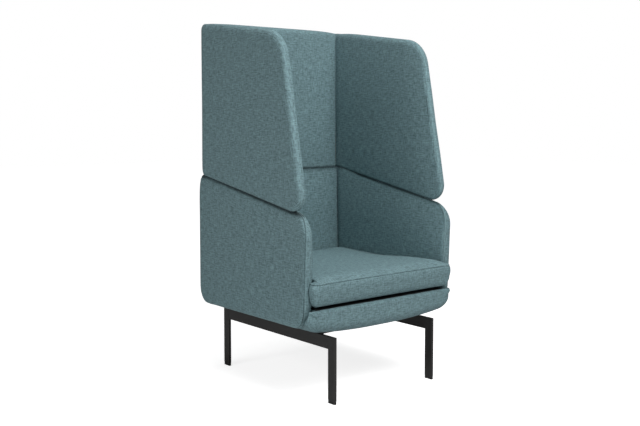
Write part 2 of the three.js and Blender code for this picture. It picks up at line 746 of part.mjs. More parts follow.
// The base's block: its plan, rounded from the side along the front and from the front at the ends
function baseBlock() {
  const earX = baseEarX;
  const noseY = frontY + BASE_NOSE_SETBACK;
  const [foot, top] = [baseBottomZ, baseTopZ];
  const side = [
    ...roundedCorner(point(baseRearY, foot), point(noseY, foot), point(noseY, top), BASE_FOOT_RADIUS),
    ...roundedCorner(point(noseY, foot), point(noseY, top), point(baseRearY, top), BASE_TOP_RADIUS),
    point(baseRearY, top),
    point(baseRearY, foot),
  ];
  const end = [
    ...roundedCorner(point(0, foot), point(earX, foot), point(earX, top), BASE_END_RADIUS),
    ...roundedCorner(point(earX, foot), point(earX, top), point(0, top), BASE_TOP_RADIUS),
  ];
  const ends = [...end, ...[...end].reverse().map((at) => point(-at.x, at.y))];
  return toSolid(raised(basePlan(), foot, top))
    .intersect(toSolid(carriedAcross(side, -halfWidth, halfWidth)))
    .intersect(toSolid(carriedForward(ends, frontY, baseRearY + CUT_OVERRUN)));
}

// The room that the base's ears leave for the front corners of the arms
function armRoom(sign) {
  const { tops, bottoms } = armSide({
    setback: -BASE_ARM_CLEARANCE, partingEdge: crisp, frontEdge: crisp, footEdge: crisp,
  });
  const ring = [...[...tops].reverse(), ...bottoms].map(({ at }) => at);
  const [x0, x1] = [innerX - BASE_SIDE_CLEARANCE, halfWidth].map((x) => sign * x).sort((a, b) => a - b);
  return toSolid(carriedAcross(ring, x0, x1));
}

function addSeatBase() {
  const noseY = frontY + BASE_NOSE_SETBACK;
  const earRearY = noseY + BASE_EAR_LENGTH;
  const pocketFrontY = noseY + BASE_FRONT_PADDING;
  const pocketTopZ = baseTopZ - BASE_TOP_PADDING;
  const belowZ = baseBottomZ - CUT_OVERRUN;
  const step = box(-halfWidth, halfWidth, earRearY, rearY, belowZ, bodyBottomZ);
  const pocket = box(-pocketX, pocketX, pocketFrontY, pocketRearY, belowZ, pocketTopZ);
  const cover = [armRoom(-1), armRoom(1), toSolid(step), toSolid(pocket)]
    .reduce((left, one) => left.subtract(one), baseBlock());
  addPiece('seat_base_cover', toGeometry(withHoles(cover, shellBolts)), fabricOuter);

  const deckY = [earRearY + FIT, pocketRearY];
  const deck = box(-footprintX, footprintX, ...deckY, baseBottomZ, baseBottomZ + DECK_THICKNESS);
  addPiece('seat_deck', toGeometry(withHoles(toSolid(deck), deckBolts)), plywood);

  const x = pocketX - FIT;
  const [y0, y1] = [pocketFrontY + FIT, pocketRearY - FIT];
  const cloth = box(-x, x, y0, y1, bodyBottomZ, bodyBottomZ + CLOTH_THICKNESS);
  addPiece('base_underside_cloth', cloth, liningCloth);

  const railZ = [baseRailBottomZ, baseRailBottomZ + BASE_RAIL_HEIGHT];
  const railFrontY = y0 + BASE_RAIL_THICKNESS;
  const addRail = (name, ...bounds) => {
    addPiece(name, toGeometry(withHoles(toSolid(box(...bounds, ...railZ)), shellBolts)), timber);
  };
  addRail('base_front_rail', -x, x, y0, railFrontY);
  addRail('base_rear_rail', -x, x, baseRailInnerY, y1);
  addRail('base_left_rail', -x, -baseRailInnerX, railFrontY + FIT, baseRailInnerY - FIT);
  addRail('base_right_rail', baseRailInnerX, x, railFrontY + FIT, baseRailInnerY - FIT);
  addPiece('seat_base_foam', box(
    -baseRailInnerX + FOAM_CLEARANCE, baseRailInnerX - FOAM_CLEARANCE,
    railFrontY + FOAM_CLEARANCE, baseRailInnerY - FOAM_CLEARANCE, baseRailBottomZ, pocketTopZ - FIT,
  ), foam);
}

// Seat shell and screen: an outer pad wraps each core, and three inner pads line it
function outerPad(wall, side, upperZ, lowerZ, core) {
  const blank = paddedSlab({
    ...wrapOutline(wall, side, upperZ, lowerZ),
    depth: wallBlankDepth,
    place: wall.place,
  });
  return toSolid(tiltParting(blank)).subtract(innerRoom(0)).subtract(core);
}

function innerSidePad(side, faceX, sign) {
  const blank = paddedSlab({
    ...side,
    depth: layerX - faceX + CUT_OVERRUN,
    place: (y, z, depth) => new THREE.Vector3(sign * (faceX + depth), y, z),
  });
  return toSolid(tiltParting(blank)).intersect(innerRoom(-FIT));
}

function innerBackPad(faceY, footZ, topZ, faceX, edges) {
  const wide = faceX + CUT_OVERRUN;
  const depth = layerY - FIT - faceY(topZ);
  const blank = paddedSlab({
    tops: [-wide, wide].map((x) => withEdge(point(x, topZ), edges.top)),
    bottoms: [-wide, wide].map((x) => withEdge(point(x, footZ), edges.foot)),
    depth,
    place: (x, z, into) => new THREE.Vector3(x, faceY(z) + (layerY - FIT - faceY(z)) * into / depth, z),
  });
  const reach = faceX - FIT;
  const span = box(-reach, reach, frontY, rearY, 0, BODY_HEIGHT);
  return toSolid(tiltParting(blank)).intersect(toSolid(span)).intersect(innerRoom(-FIT));
}

const withPockets = (solid) => tongueSeats.reduce((left, seat) => left.subtract(tonguePocket(seat)), solid);

function addSeatShell() {
  const side = armSide({
    setback: bandDrop,
    partingEdge: SHELL_PARTING_EDGE,
    frontEdge: SHELL_FRONT_EDGE,
    footEdge: SHELL_FOOT_EDGE,
  });
  side.bottoms[side.bottoms.length - 1].edge = SHELL_REAR_FOOT_EDGE;
  const topZ = (y) => partingZ(y) - bandDrop;
  const footZ = shellBottomZ + bandDrop;
  const outer = outerPad(shellWall, side, topZ, () => footZ, shellCore(FIT));
  addPiece('shell_outer_pad', toGeometry(outer), fabricOuter);
  addPiece('shell_core', toGeometry(withHoles(shellCore(0), [...shellBolts, ...tongueScrews])), plywood);

  const inner = extendedSide(armSide({
    setback: bandDrop, partingEdge: SHELL_INNER_EDGE, frontEdge: SHELL_INNER_EDGE, footEdge: SEWN_EDGE,
  }), layerY, topZ(layerY));
  for (const [name, sign] of [['left', -1], ['right', 1]]) {
    const pad = withHoles(withPockets(innerSidePad(inner, innerX, sign)), shellBolts);
    addPiece(`${name}_arm_inner_pad`, toGeometry(pad), fabricInner);
  }
  const lean = (LOWER_BACK_FACE_Y - LOWER_BACK_FOOT_Y) / (topZ(layerY) - footZ);
  const back = innerBackPad(
    (z) => LOWER_BACK_FOOT_Y + (z - footZ) * lean,
    footZ,
    topZ(layerY) + BACK_PARTING_LIFT,
    innerX,
    { top: SHELL_INNER_EDGE, foot: SEWN_EDGE },
  );
  addPiece('lower_back_inner_pad', toGeometry(withHoles(withPockets(back), shellBolts)), fabricInner);
}

// The sewn strip that runs over the top, the front and the foot of each arm
function addArmBands() {
  const path = (setback) => {
    const { tops, bottoms } = armSide({ setback, partingEdge: crisp, frontEdge: crisp, footEdge: crisp });
    return [...[...tops].reverse(), ...bottoms.slice(0, -1)].map(({ at }) => at);
  };
  const ring = [...path(0), ...path(BAND_THICKNESS).reverse()];
  const margin = (ARM_THICKNESS - BAND_WIDTH) / 2;
  for (const [name, sign] of [['left', -1], ['right', 1]]) {
    const [x0, x1] = [innerX + margin, halfWidth - margin].map((x) => sign * x).sort((a, b) => a - b);
    const band = withPockets(toSolid(tiltParting(carriedAcross(ring, x0, x1))));
    addPiece(`${name}_arm_band`, toGeometry(band), fabricInner);
  }
}

function addScreen() {
  const side = screenSide({
    topEdge: SCREEN_TOP_EDGE, frontEdge: SCREEN_FRONT_EDGE, partingEdge: SCREEN_PARTING_EDGE,
  });
  const footZ = (y) => partingZ(y) + FIT;
  const outer = outerPad(screenWall, side, screenTopZ, footZ, screenCore(FIT));
  addPiece('screen_outer_pad', toGeometry(outer), fabricOuter);
  addPiece('screen_core', toGeometry(withHoles(screenCore(0), tongueScrews)), plywood);

  const inner = extendedSide(screenSide({
    topEdge: SCREEN_INNER_EDGE, frontEdge: SCREEN_INNER_EDGE, partingEdge: SHELL_INNER_EDGE,
  }), layerY, screenTopZ(layerY));
  for (const [name, sign] of [['left', -1], ['right', 1]]) {
    const pad = withPockets(innerSidePad(inner, wingInnerX, sign));
    addPiece(`${name}_wing_inner_pad`, toGeometry(pad), fabricInner);
  }
  const back = innerBackPad(
    () => SCREEN_BACK_FACE_Y,
    footZ(layerY) + BACK_PARTING_LIFT - bandDrop,
    screenTopZ(layerY),
    wingInnerX,
    { top: SCREEN_INNER_EDGE, foot: SHELL_INNER_EDGE },
  );
  addPiece('upper_back_inner_pad', toGeometry(withPockets(back)), fabricInner);
}

function addJoinery() {
  for (const seat of tongueSeats) {
    const tongue = toSolid(tongueBox(seat, TONGUE_THICKNESS, 0));
    addPiece(`screen_tongue_${seat.name}`, toGeometry(withHoles(tongue, tongueScrews)), zincSteel);
  }
  for (const screw of [...tongueScrews, ...shellBolts]) {
    addPiece(screw.name, fastener(screw, ROUND_STEPS), zincSteel);
  }
}

// Seat cushion
const cushionBodyX = innerX - CUSHION_SIDE_CLEARANCE;
const cushionRearY = LOWER_BACK_FOOT_Y - CUSHION_REAR_CLEARANCE;

// The left half of the cushion's plan, as paired rear and front points, drawn in by `inset`
function cushionHalf(inset) {
  const earX = cushionEarX - inset;
  const bodyX = cushionBodyX - inset;
  const [nose, ear] = [frontY + inset, frontY + CUSHION_EAR_LENGTH - inset];
  const rear = cushionRearY - inset;
  const heelRadius = CUSHION_HEEL_RADIUS - inset;
  const heelSteps = 3;
  const rearSteps = 2;
  const rearPoints = [
    ...roundedCorner(point(-earX, nose), point(-earX, ear), point(0, ear), heelRadius, heelSteps),
    point((heelRadius - earX - bodyX) / 2, ear),
    point(-bodyX, ear),
    point(-bodyX, 0),
    ...roundedCorner(point(-bodyX, 0), point(-bodyX, rear), point(0, rear), heelRadius, rearSteps),
    point(-bodyX / 2, rear),
    point(0, rear),
  ];
  const cornerSteps = heelSteps + 1;
  const cornerRadius = CUSHION_CORNER_RADIUS - inset;
  const frontShares = [0.98, 0.94, 0.84, 0.74, 0.64, 0.35, 0];
  const frontPoints = [
    ...roundedCorner(point(-earX, ear), point(-earX, nose), point(0, nose), cornerRadius, cornerSteps),
    ...frontShares.map((share) => point(-bodyX * share, nose)),
  ];
  return { rearPoints, frontPoints };
}

// The cushion's crown over a place in its plan: full in the middle, none at the outline
function crownAt(x, y) {
  const across = Math.abs(x) / cushionEarX;
  const along = Math.abs(y - (frontY + cushionRearY) / 2) / ((cushionRearY - frontY) / 2);
  return CUSHION_CROWN * Math.max(1 - across ** 3, 0) * Math.max(1 - along ** 3, 0);
}

// How far the cushion's underside rises towards its front edge
function noseLiftAt(y) {
  const share = Math.max(1 - (y - frontY) / CUSHION_NOSE_LENGTH, 0);
  return CUSHION_NOSE_LIFT * share ** 2;
}

function cushionForm(inset, edgeSteps, rows) {
  const { rearPoints, frontPoints } = cushionHalf(inset);
  const topEdge = CUSHION_TOP_EDGE.map((part) => part - inset);
  const whole = (row) => [...row, ...row.slice(0, -1).reverse().map((at) => point(-at.x, at.y))]
    .map((at) => withEdge(at, topEdge));
  const topZ = cushionTopZ - inset;
  const depth = CUSHION_HEIGHT - 2 * inset;
  return toSolid(paddedSlab({
    tops: whole(rearPoints),
    bottoms: whole(frontPoints),
    depth,
    place: (x, y, into) => new THREE.Vector3(
      x, y, topZ - into + crownAt(x, y) * (1 - into / depth) + noseLiftAt(y) * into / depth,
    ),
    backEdge: CUSHION_FOOT_EDGE.map((part) => part - inset),
    waist: CUSHION_WAIST,
    rows,
    edgeSteps,
  }));
}

function cushionMouth(clearance, z0, z1) {
  const x = cushionBodyX - CUSHION_MOUTH_SETBACK - clearance;
  const margin = CUSHION_MOUTH_SETBACK + clearance;
  return box(-x, x, frontY + margin, cushionRearY - margin, z0, z1);
}

function addSeatCushion() {
  const mouth = toSolid(cushionMouth(0, cushionBottomZ - CUT_OVERRUN, cushionBottomZ + 2 * CUSHION_COVER));
  const room = cushionForm(CUSHION_COVER, INNER_EDGE_STEPS, INNER_CUSHION_ROWS);
  const cover = cushionForm(0, EDGE_STEPS, CUSHION_ROWS).subtract(room).subtract(mouth);
  addPiece('seat_cushion_cover', toGeometry(cover), fabricInner);
  const core = cushionForm(CUSHION_COVER + FIT, INNER_EDGE_STEPS, INNER_CUSHION_ROWS);
  addPiece('seat_cushion_core', toGeometry(core), foam);
  addPiece(
    'seat_cushion_underside', cushionMouth(FIT, cushionBottomZ, cushionBottomZ + CUSHION_COVER), liningCloth,
  );
}

addLegFrames();
addSeatBase();
addSeatShell();
addArmBands();
addScreen();
addJoinery();
addSeatCushion();

export default chair;
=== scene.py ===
"""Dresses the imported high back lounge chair: padded covers, seams, stitching, materials, light, camera."""

import json
import math

import bmesh
import bpy
import numpy as np
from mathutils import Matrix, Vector, noise


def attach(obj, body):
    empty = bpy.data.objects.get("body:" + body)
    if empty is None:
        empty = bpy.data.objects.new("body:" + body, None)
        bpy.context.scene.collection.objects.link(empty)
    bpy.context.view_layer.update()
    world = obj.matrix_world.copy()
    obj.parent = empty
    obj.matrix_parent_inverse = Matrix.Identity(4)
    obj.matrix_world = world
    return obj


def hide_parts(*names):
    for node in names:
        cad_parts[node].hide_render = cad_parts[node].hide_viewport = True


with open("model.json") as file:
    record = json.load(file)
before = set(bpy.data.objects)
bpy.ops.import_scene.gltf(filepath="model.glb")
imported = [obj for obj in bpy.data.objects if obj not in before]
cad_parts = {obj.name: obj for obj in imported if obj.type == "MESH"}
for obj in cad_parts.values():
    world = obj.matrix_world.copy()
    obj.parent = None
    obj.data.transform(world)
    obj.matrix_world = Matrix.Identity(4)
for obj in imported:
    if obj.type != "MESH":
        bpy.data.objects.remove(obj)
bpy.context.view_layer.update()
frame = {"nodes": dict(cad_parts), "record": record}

MM = 0.001

# Walls, in millimetres, as in the part's source
HALF_WIDTH = 360.0
SHELL_REAR_Y = 363.0
SCREEN_REAR_Y = 341.0
CORNER_RADIUS = 60.0
SHELL_BOTTOM_Z = 263.6
TOTAL_HEIGHT = 1360.0
ARM_INNER_X = 318.0
WING_INNER_X = 326.0
SCREEN_BACK_Y = 308.0
LOWER_BACK_TOP_Y = 290.0
LOWER_BACK_FOOT_Y = 279.0
LOWER_BACK_FOOT_Z = 266.9
LOWER_BACK_RISE = 490.0
BEND_Y = SCREEN_REAR_Y - CORNER_RADIUS
CORNER_GAP = 28.0

# Runs along the outer face from the middle of the back: to a bend, round it, to its middle and end
FLAT_RUN = HALF_WIDTH - CORNER_RADIUS
BEND_RUN = CORNER_RADIUS * math.pi / 2
CORNER_RUN = FLAT_RUN + BEND_RUN / 2
SIDE_RUN = FLAT_RUN + BEND_RUN

# The parting between the seat shell and the screen. It lifts a little towards the sitter: by an
# offset, and by a rate per millimetre behind a start
PARTING_START = (-260.0, 663.6)
PARTING_SLOPE = math.tan(math.radians(9.8))
PARTING_GAP = -0.4
PARTING_LIFT = (6.1, 0.0216, -244.0)
PARTING_REACH = 110.0
# How far the painted shade in the parting's crease reaches
PARTING_SHADE = 7.0
SCREEN_NOTCH = (7.0, 12.0)
SHELL_NOTCH = (8.0, 12.0)

# Fronts of arms and wings: a lean is positive where the edge goes back as it rises, and the upper
# and the lower corner have a radius and a start, as a share of the edge's height
ARM_NOSE_Y = -337.0
ARM_LEAN = -math.radians(2.4)
ARM_RADII, ARM_STARTS = (80.0, 84.0), (0.72, 0.3)
WING_NOSE_Y = -323.0
WING_LEAN = math.radians(10.9)
WING_RADII, WING_STARTS = (125.0, 62.0), (0.74, 0.16)

# The screen's top falls forwards, and droops between its corners and at them
TOP_FALL = math.tan(math.radians(7.8))
TOP_DROOP = (4.0, 5.0)
DROOP_REACH = (130.0, 80.0)

# How far the inner faces' shaping reaches: the corner seam's groove, the pillow beside it and the
# crown between two seams, then the thinning towards the front and the parting
GROOVE_REACH, PILLOW_REACH, CROWN_REACH = 7.0, 9.0, 60.0
FRONT_TURN_REACH, PARTING_TURN_REACH, PARTING_TURN_START = 120.0, 180.0, 40.0

# The corner seam's width and pinch, the depth below which the shaping fades, and the shares of the
# wall's thickness between which its outer plan turns into its inner one
SEAM_WIDTH, SEAM_PINCH, SINK_DEPTH = 1.5, 1.2, 9.0
FACE_BLEND = (0.3, 0.85)

# An arm's profile: insets of its rolls beyond the strip, and the rings of the strip's two seams, of
# the lines beside them and of the two rows of stitches, which reach back by some columns
SHELL_ROLL, PAD_EDGE = 84, 8
STRIP_SEAMS, BESIDE_STRIP_SEAMS, STRIP_STITCHES = (9, 19), (10, 18), (11, 17)
STITCHED_COLUMNS = 26

# Points round a wall: round each corner of the front edge, along a side, round a bend, half the back
CORNER_STEPS, SIDE_STEPS, BEND_STEPS, BACK_STEPS = 22, 34, 18, 24


# Outlines and padded slabs

def unit(vector):
    return vector / np.linalg.norm(vector)


def smoothstep(low, high, value):
    share = np.clip((value - low) / (high - low), 0, 1)
    return share * share * (3 - 2 * share)


def parting_z(y):
    return PARTING_START[1] + (np.minimum(y, BEND_Y) - PARTING_START[0]) * PARTING_SLOPE


def screen_top_z(y):
    return TOTAL_HEIGHT - (SCREEN_REAR_Y - y) * TOP_FALL


def crossing(start, direction, other, other_direction):
    """Where two lines in a plane meet."""
    share = np.linalg.solve(np.stack([direction, -other_direction], 1), other - start)
    return start + direction * share[0]


def rounded_corner(before, corner, after, radius, steps):
    """Points of a rounded corner, from the side of `before` to the side of `after`."""
    to_before, to_after = unit(before - corner), unit(after - corner)
    half = math.acos(np.clip(to_before @ to_after, -1, 1)) / 2
    start = corner + to_before * radius / math.tan(half)
    centre = corner + unit(to_before + to_after) * radius / math.sin(half)
    side = np.sign(to_after[0] * to_before[1] - to_after[1] * to_before[0])
    turns = np.linspace(0, (math.pi - 2 * half) * side, steps + 1)
    arm = start - centre
    cos, sin = np.cos(turns), np.sin(turns)
    return centre + np.stack([cos * arm[0] - sin * arm[1], sin * arm[0] + cos * arm[1]], 1)


def between(start, end, count):
    """`count` points after `start`, evenly up to `end`."""
    shares = np.arange(1, count + 1)[:, None] / count
    return start + (end - start) * shares


def quarter(inset, depth, steps, from_inset=0.0, from_depth=0.0):
    """A quarter roll of a padded edge, as rows of inset and depth, from the face round to the wall."""
    turns = np.linspace(0, math.pi / 2, steps + 1)
    return np.stack([from_inset + inset * (1 - np.sin(turns)), from_depth + depth * (1 - np.cos(turns))], 1)


def from_behind(roll, thickness):
    """The same roll on the far side of a thickness."""
    return np.column_stack([roll[:, 0], thickness - roll[:, 1]])[::-1]


def double_roll(shallow, tight, steps):
    """A long shallow roll that ends in a tight, deep one, with as many rows as `quarter`."""
    first = quarter(shallow[0] - tight[0], shallow[1], steps // 2, from_inset=tight[0])
    second = quarter(tight[0], tight[1], steps - steps // 2, from_depth=shallow[1])
    return np.concatenate([first, second[1:]])


def inward_normals(outline):
    back = outline - np.roll(outline, 1, axis=0)
    ahead = np.roll(outline, -1, axis=0) - outline
    back /= np.linalg.norm(back, axis=1)[:, None]
    ahead /= np.linalg.norm(ahead, axis=1)[:, None]
    total = back + ahead
    normals = np.stack([total[:, 1], -total[:, 0]], 1)
    return normals / (1 + (back * ahead).sum(1))[:, None]


def evened(directions, passes=90):
    """Spreads a sudden turn in a row of directions over its neighbours."""
    result = directions.copy()
    for _ in range(passes):
        result[1:-1] = (result[:-2] + 2 * result[1:-1] + result[2:]) / 4
    return result / np.linalg.norm(result, axis=1)[:, None]


def mirrored(half):
    """A whole row of points from its left half, which ends in the middle."""
    return np.concatenate([half, (half * [-1, 1])[:-1][::-1]])


def both_ways(half):
    """The profiles of a whole row from those of its left half."""
    return np.concatenate([half, half[:-1][::-1]])


def eased(steps):
    """Shares that turn one profile into another along `steps` columns."""
    return smoothstep(0, 1, np.linspace(0, 1, steps + 1))[:, None, None]


def repeated(shape, count):
    return np.repeat(shape[None], count, axis=0)


def level(value):
    """A height or a place that is the same everywhere."""
    return lambda at: np.full_like(at, value)


class Slab:
    """A closed padded form. `tops` and `bottoms` are paired outline points, walked alike, and each
    outline point has a profile: rows of inset along the face and depth into the wall."""

    def __init__(self, tops, bottoms, top_profiles, bottom_profiles, rows, corner_columns=0):
        self.columns = len(tops)
        self.rows = rows
        shares = np.arange(1, rows)[:, None] / rows
        right = tops[-1] + (bottoms[-1] - tops[-1]) * shares
        left = (tops[0] + (bottoms[0] - tops[0]) * shares)[::-1]
        side = shares[:, :, None]
        right_profiles = top_profiles[-1] + (bottom_profiles[-1] - top_profiles[-1]) * side
        left_profiles = (top_profiles[0] + (bottom_profiles[0] - top_profiles[0]) * side)[::-1]
        outline = np.concatenate([tops, right, bottoms[::-1], left])
        profiles = np.concatenate([top_profiles, right_profiles, bottom_profiles[::-1], left_profiles])
        self.count = len(outline)
        inward = inward_normals(outline)
        if corner_columns:
            between_corners = slice(corner_columns, self.columns - corner_columns)
            inward[between_corners] = evened(inward[between_corners])
        self.rings = profiles.shape[1]
        flats = []
        for ring in range(self.rings):
            inset, depth = profiles[:, ring, 0], profiles[:, ring, 1]
            at = outline + inward * inset[:, None]
            flats.append(np.column_stack([at, depth, profiles[:, -1, 1]]))
        self.along = np.concatenate([[0], np.cumsum(np.linalg.norm(np.diff(outline, axis=0), axis=1))])
        steps = np.linalg.norm(np.diff(profiles, axis=1), axis=2)
        self.girth = np.concatenate([np.zeros((self.count, 1)), np.cumsum(steps, axis=1)], axis=1)
        self.flats = list(np.concatenate(flats))
        self.faces, self.uvs = [], []
        for ring in range(self.rings - 1):
            for k in range(self.count):
                self.add_ring_face(ring, k)
        self.add_cap(0, True)
        self.add_cap(self.rings - 1, False)
        self.flats = np.array(self.flats)

    def edge_id(self, column, row):
        """A place on the outline, from its column and row in the cap's grid."""
        if row == 0:
            return column
        if row == self.rows:
            return self.columns + self.rows - 1 + (self.columns - 1 - column)
        if column == self.columns - 1:
            return self.columns + row - 1
        return 2 * self.columns + self.rows - 1 + (self.rows - 1 - row)

    def add_ring_face(self, ring, k):
        after = (k + 1) % self.count
        here, beyond = ring * self.count, (ring + 1) * self.count
        self.faces.append((here + k, beyond + k, beyond + after, here + after))
        start, gap = self.along[k], np.linalg.norm(self.flats[k][:2] - self.flats[after][:2])
        end = self.along[after] if after else start + gap
        self.uvs.append([(start, self.girth[k, ring]), (start, self.girth[k, ring + 1]),
                         (end, self.girth[after, ring + 1]), (end, self.girth[after, ring])])

    def add_cap(self, ring, front):
        start = ring * self.count
        ids = np.zeros((self.columns, self.rows + 1), int)
        for i in range(self.columns):
            top, bottom = start + self.edge_id(i, 0), start + self.edge_id(i, self.rows)
            for j in range(self.rows + 1):
                if i in (0, self.columns - 1) or j in (0, self.rows):
                    ids[i, j] = start + self.edge_id(i, j)
                    continue
                ids[i, j] = len(self.flats)
                share = j / self.rows
                self.flats.append(self.flats[top] * (1 - share) + self.flats[bottom] * share)
        for i in range(self.columns - 1):
            for j in range(self.rows):
                face = [ids[i, j], ids[i + 1, j], ids[i + 1, j + 1], ids[i, j + 1]]
                self.faces.append(tuple(face if front else face[::-1]))
                self.uvs.append([tuple(self.flats[k][:2]) for k in self.faces[-1]])

    def ring(self, number):
        return slice(number * self.count, (number + 1) * self.count)

    def path(self, ring, reach, on_right):
        """Vertices of one ring round one front edge, `reach` columns back above and below."""
        column = (lambda i: self.columns - 1 - i) if on_right else (lambda i: i)
        ids = [self.edge_id(column(i), 0) for i in range(reach, -1, -1)]
        ids += [self.edge_id(column(0), j) for j in range(1, self.rows)]
        ids += [self.edge_id(column(i), self.rows) for i in range(reach + 1)]
        return [ring * self.count + k for k in ids]


def placed(name, data):
    made = bpy.data.objects.new(name, data)
    bpy.context.scene.collection.objects.link(made)
    return made


def make_piece(name, positions, faces, uvs=None):
    """A smooth-shaded mesh object from points in millimetres."""
    mesh = bpy.data.meshes.new(name)
    mesh.from_pydata((np.asarray(positions) * MM).tolist(), [], [list(map(int, f)) for f in faces])
    if uvs is not None:
        layer = mesh.uv_layers.new(name="cloth")
        flat = np.array([corner for face in uvs for corner in face], float) * MM
        layer.data.foreach_set("uv", flat.ravel())
    mesh.update()
    work = bmesh.new()
    work.from_mesh(mesh)
    if work.calc_volume(signed=True) < 0:
        bmesh.ops.reverse_faces(work, faces=work.faces)
    work.to_mesh(mesh)
    work.free()
    mesh.polygons.foreach_set("use_smooth", [True] * len(mesh.polygons))
    return placed(name, mesh)


def shade_seams(piece, amounts):
    """Stores the painted shade of each point in seams, corners and creases, for the cloth material."""
    layer = piece.data.attributes.new("painted_shade", "FLOAT", "POINT")
    layer.data.foreach_set("value", np.asarray(amounts, float))


# Painted shade along whole rings, for the grooves of seams
def ring_painted_shade(slab, rings, strength=1.0):
    amounts = np.zeros(len(slab.flats))
    for ring in rings:
        amounts[slab.ring(ring)] = strength
    return amounts


def ripple(point, size, seed=0.0):
    return noise.noise(Vector((point[0] / size + seed, point[1] / size, point[2] / size)))


# Walls that wrap round the sitter

def bent(run):
    """How far round the bend a run is, as an angle, and how far past its end."""
    reach = np.abs(run)
    return np.clip((reach - FLAT_RUN) / CORNER_RADIUS, 0, math.pi / 2), np.maximum(reach - SIDE_RUN, 0)


class Wall:
    """Places points of a wrap-round wall. A point is (run, z, depth, thickness): the run is counted
    along the outer face from the middle of the back, negative on the -X side."""

    def __init__(self, rear_y, inner_x, inner_back_y, side_until_y, groove, pillow, crown,
                 nose_y, lean, front_turn, parting_turn, droop=(0, 0)):
        self.bend_y = rear_y - CORNER_RADIUS
        self.inner_x, self.inner_back_y, self.side_until_y = inner_x, inner_back_y, side_until_y
        self.groove, self.pillow, self.crown = groove, pillow, crown
        self.nose_y, self.lean = nose_y, lean
        self.front_turn, self.parting_turn, self.droop = front_turn, parting_turn, droop

    def run_at(self, y):
        return SIDE_RUN + self.bend_y - y

    def y_at(self, run):
        turn, past = bent(run)
        return self.bend_y + CORNER_RADIUS * np.cos(turn) - past

    def front_y(self, z):
        return self.nose_y + (z - parting_z(self.nose_y)) * math.tan(self.lean)

    def outer(self, run, depth):
        turn, past = bent(run)
        radius = CORNER_RADIUS - depth
        return np.minimum(np.abs(run), FLAT_RUN) + radius * np.sin(turn), \
            self.bend_y + radius * np.cos(turn) - past

    def inner(self, run, z, height):
        """The inner face's plan: a side, a crisp corner with its seam sunk in, and the back."""
        reach = np.abs(run)
        back_y = self.inner_back_y(z)
        beside = reach > CORNER_RUN
        y_side, start = self.bend_y - bent(run)[1], self.side_until_y
        squeeze = (y_side - start) / max(self.bend_y - start, 1e-6)
        gap = back_y - self.bend_y if self.bend_y < back_y.min() else CORNER_GAP
        bend_start_y = back_y - gap
        y_side = np.where(y_side > start, start + (bend_start_y - start) * squeeze, y_side)
        share = np.clip((SIDE_RUN - reach) / (BEND_RUN / 2), 0, 1)
        y = np.where(beside, y_side + (back_y - bend_start_y) * share, back_y)
        across = np.clip((reach - FLAT_RUN) / (BEND_RUN / 2), 0, 1)
        x = np.where(beside, self.inner_x, FLAT_RUN + (self.inner_x - FLAT_RUN) * across)
        x = np.minimum(x, reach)
        away = np.where(beside, back_y - y, self.inner_x - x)
        on_side = np.clip((reach - CORNER_RUN) / SEAM_WIDTH + 0.5, 0, 1)
        return x, y, self.sunk(run, z, height, away, on_side), on_side

    def sunk(self, run, z, height, away, on_side):
        """How deep the inner face lies, `away` from its corner seam."""
        sink = self.groove * np.exp(-(away / GROOVE_REACH) ** 1.3)
        sink -= self.pillow * (1 - np.exp(-away / PILLOW_REACH))
        sink -= self.crown * (1 - np.exp(-away / CROWN_REACH)) * height
        y = self.y_at(run)
        behind = np.clip((y - self.front_y(z)) / FRONT_TURN_REACH, 0, 1)
        sink += self.front_turn * (1 - behind) ** 2 * on_side
        off_parting = np.clip(np.abs(z - parting_z(y)) / PARTING_TURN_REACH, 0, 1)
        return sink + self.parting_turn * (1 - off_parting) ** 2 * (1 - np.exp(-away / PARTING_TURN_START))

    def place(self, flats, low_z, high_z):
        run, z, depth, thickness = flats.T
        reach = np.abs(run)
        low, high = low_z(self.y_at(run)), high_z(self.y_at(run))
        up = np.clip((z - low) / (high - low), 0, 1)
        ox, oy = self.outer(run, depth)
        ix, iy, sink, on_side = self.inner(run, z, np.sin(math.pi * up) ** 0.5)
        rest = thickness - depth
        back = rest + sink * np.exp(-np.maximum(rest, 0) / SINK_DEPTH)
        corner = np.exp(-((reach - CORNER_RUN) / SEAM_PINCH) ** 2)
        ix = ix + back * np.maximum(on_side, corner)
        iy = iy + back * np.maximum(1 - on_side, corner)
        share = smoothstep(*FACE_BLEND, depth / np.maximum(thickness, 1e-6))
        x, y = ox * (1 - share) + ix * share, oy * (1 - share) + iy * share
        x = np.where(run < 0, -x, x)
        nearness = np.maximum(1 - np.abs(z - parting_z(y)) / PARTING_REACH, 0)
        offset, rate, start = PARTING_LIFT
        lift = offset + rate * (np.minimum(y, SCREEN_BACK_Y) - start)
        inwards = np.minimum(HALF_WIDTH - np.abs(x), SCREEN_REAR_Y - y)
        through = np.clip(inwards / (HALF_WIDTH - WING_INNER_X), 0, 1.1)
        middle, corners = self.droop
        fall = middle * smoothstep(CORNER_RUN + DROOP_REACH[0], FLAT_RUN, reach)
        fall += corners * np.exp(-((reach - CORNER_RUN) / DROOP_REACH[1]) ** 2)
        return np.column_stack([x, y, z + lift * through * nearness - fall * up ** 3])

    def painted_crease_shade(self, flats):
        """Painted shade: 1 along the seams in the inner corners and in the parting's crease, 0 elsewhere."""
        run, z, depth, thickness = flats.T
        near = np.clip(1 - np.abs(np.abs(run) - CORNER_RUN) / 3, 0, 1)
        crease = np.clip(1.3 - np.abs(z - parting_z(self.y_at(run))) / PARTING_SHADE, 0, 1)
        return np.maximum(near * (depth > 0.75 * thickness), crease)


def side_row(front, corner, end, radius):
    """Points of one edge of a side, from the front edge round its corner and back to the bend."""
    turn = rounded_corner(front, corner, end, radius, CORNER_STEPS)
    return np.concatenate([front[None], turn, between(turn[-1], end, SIDE_STEPS)])


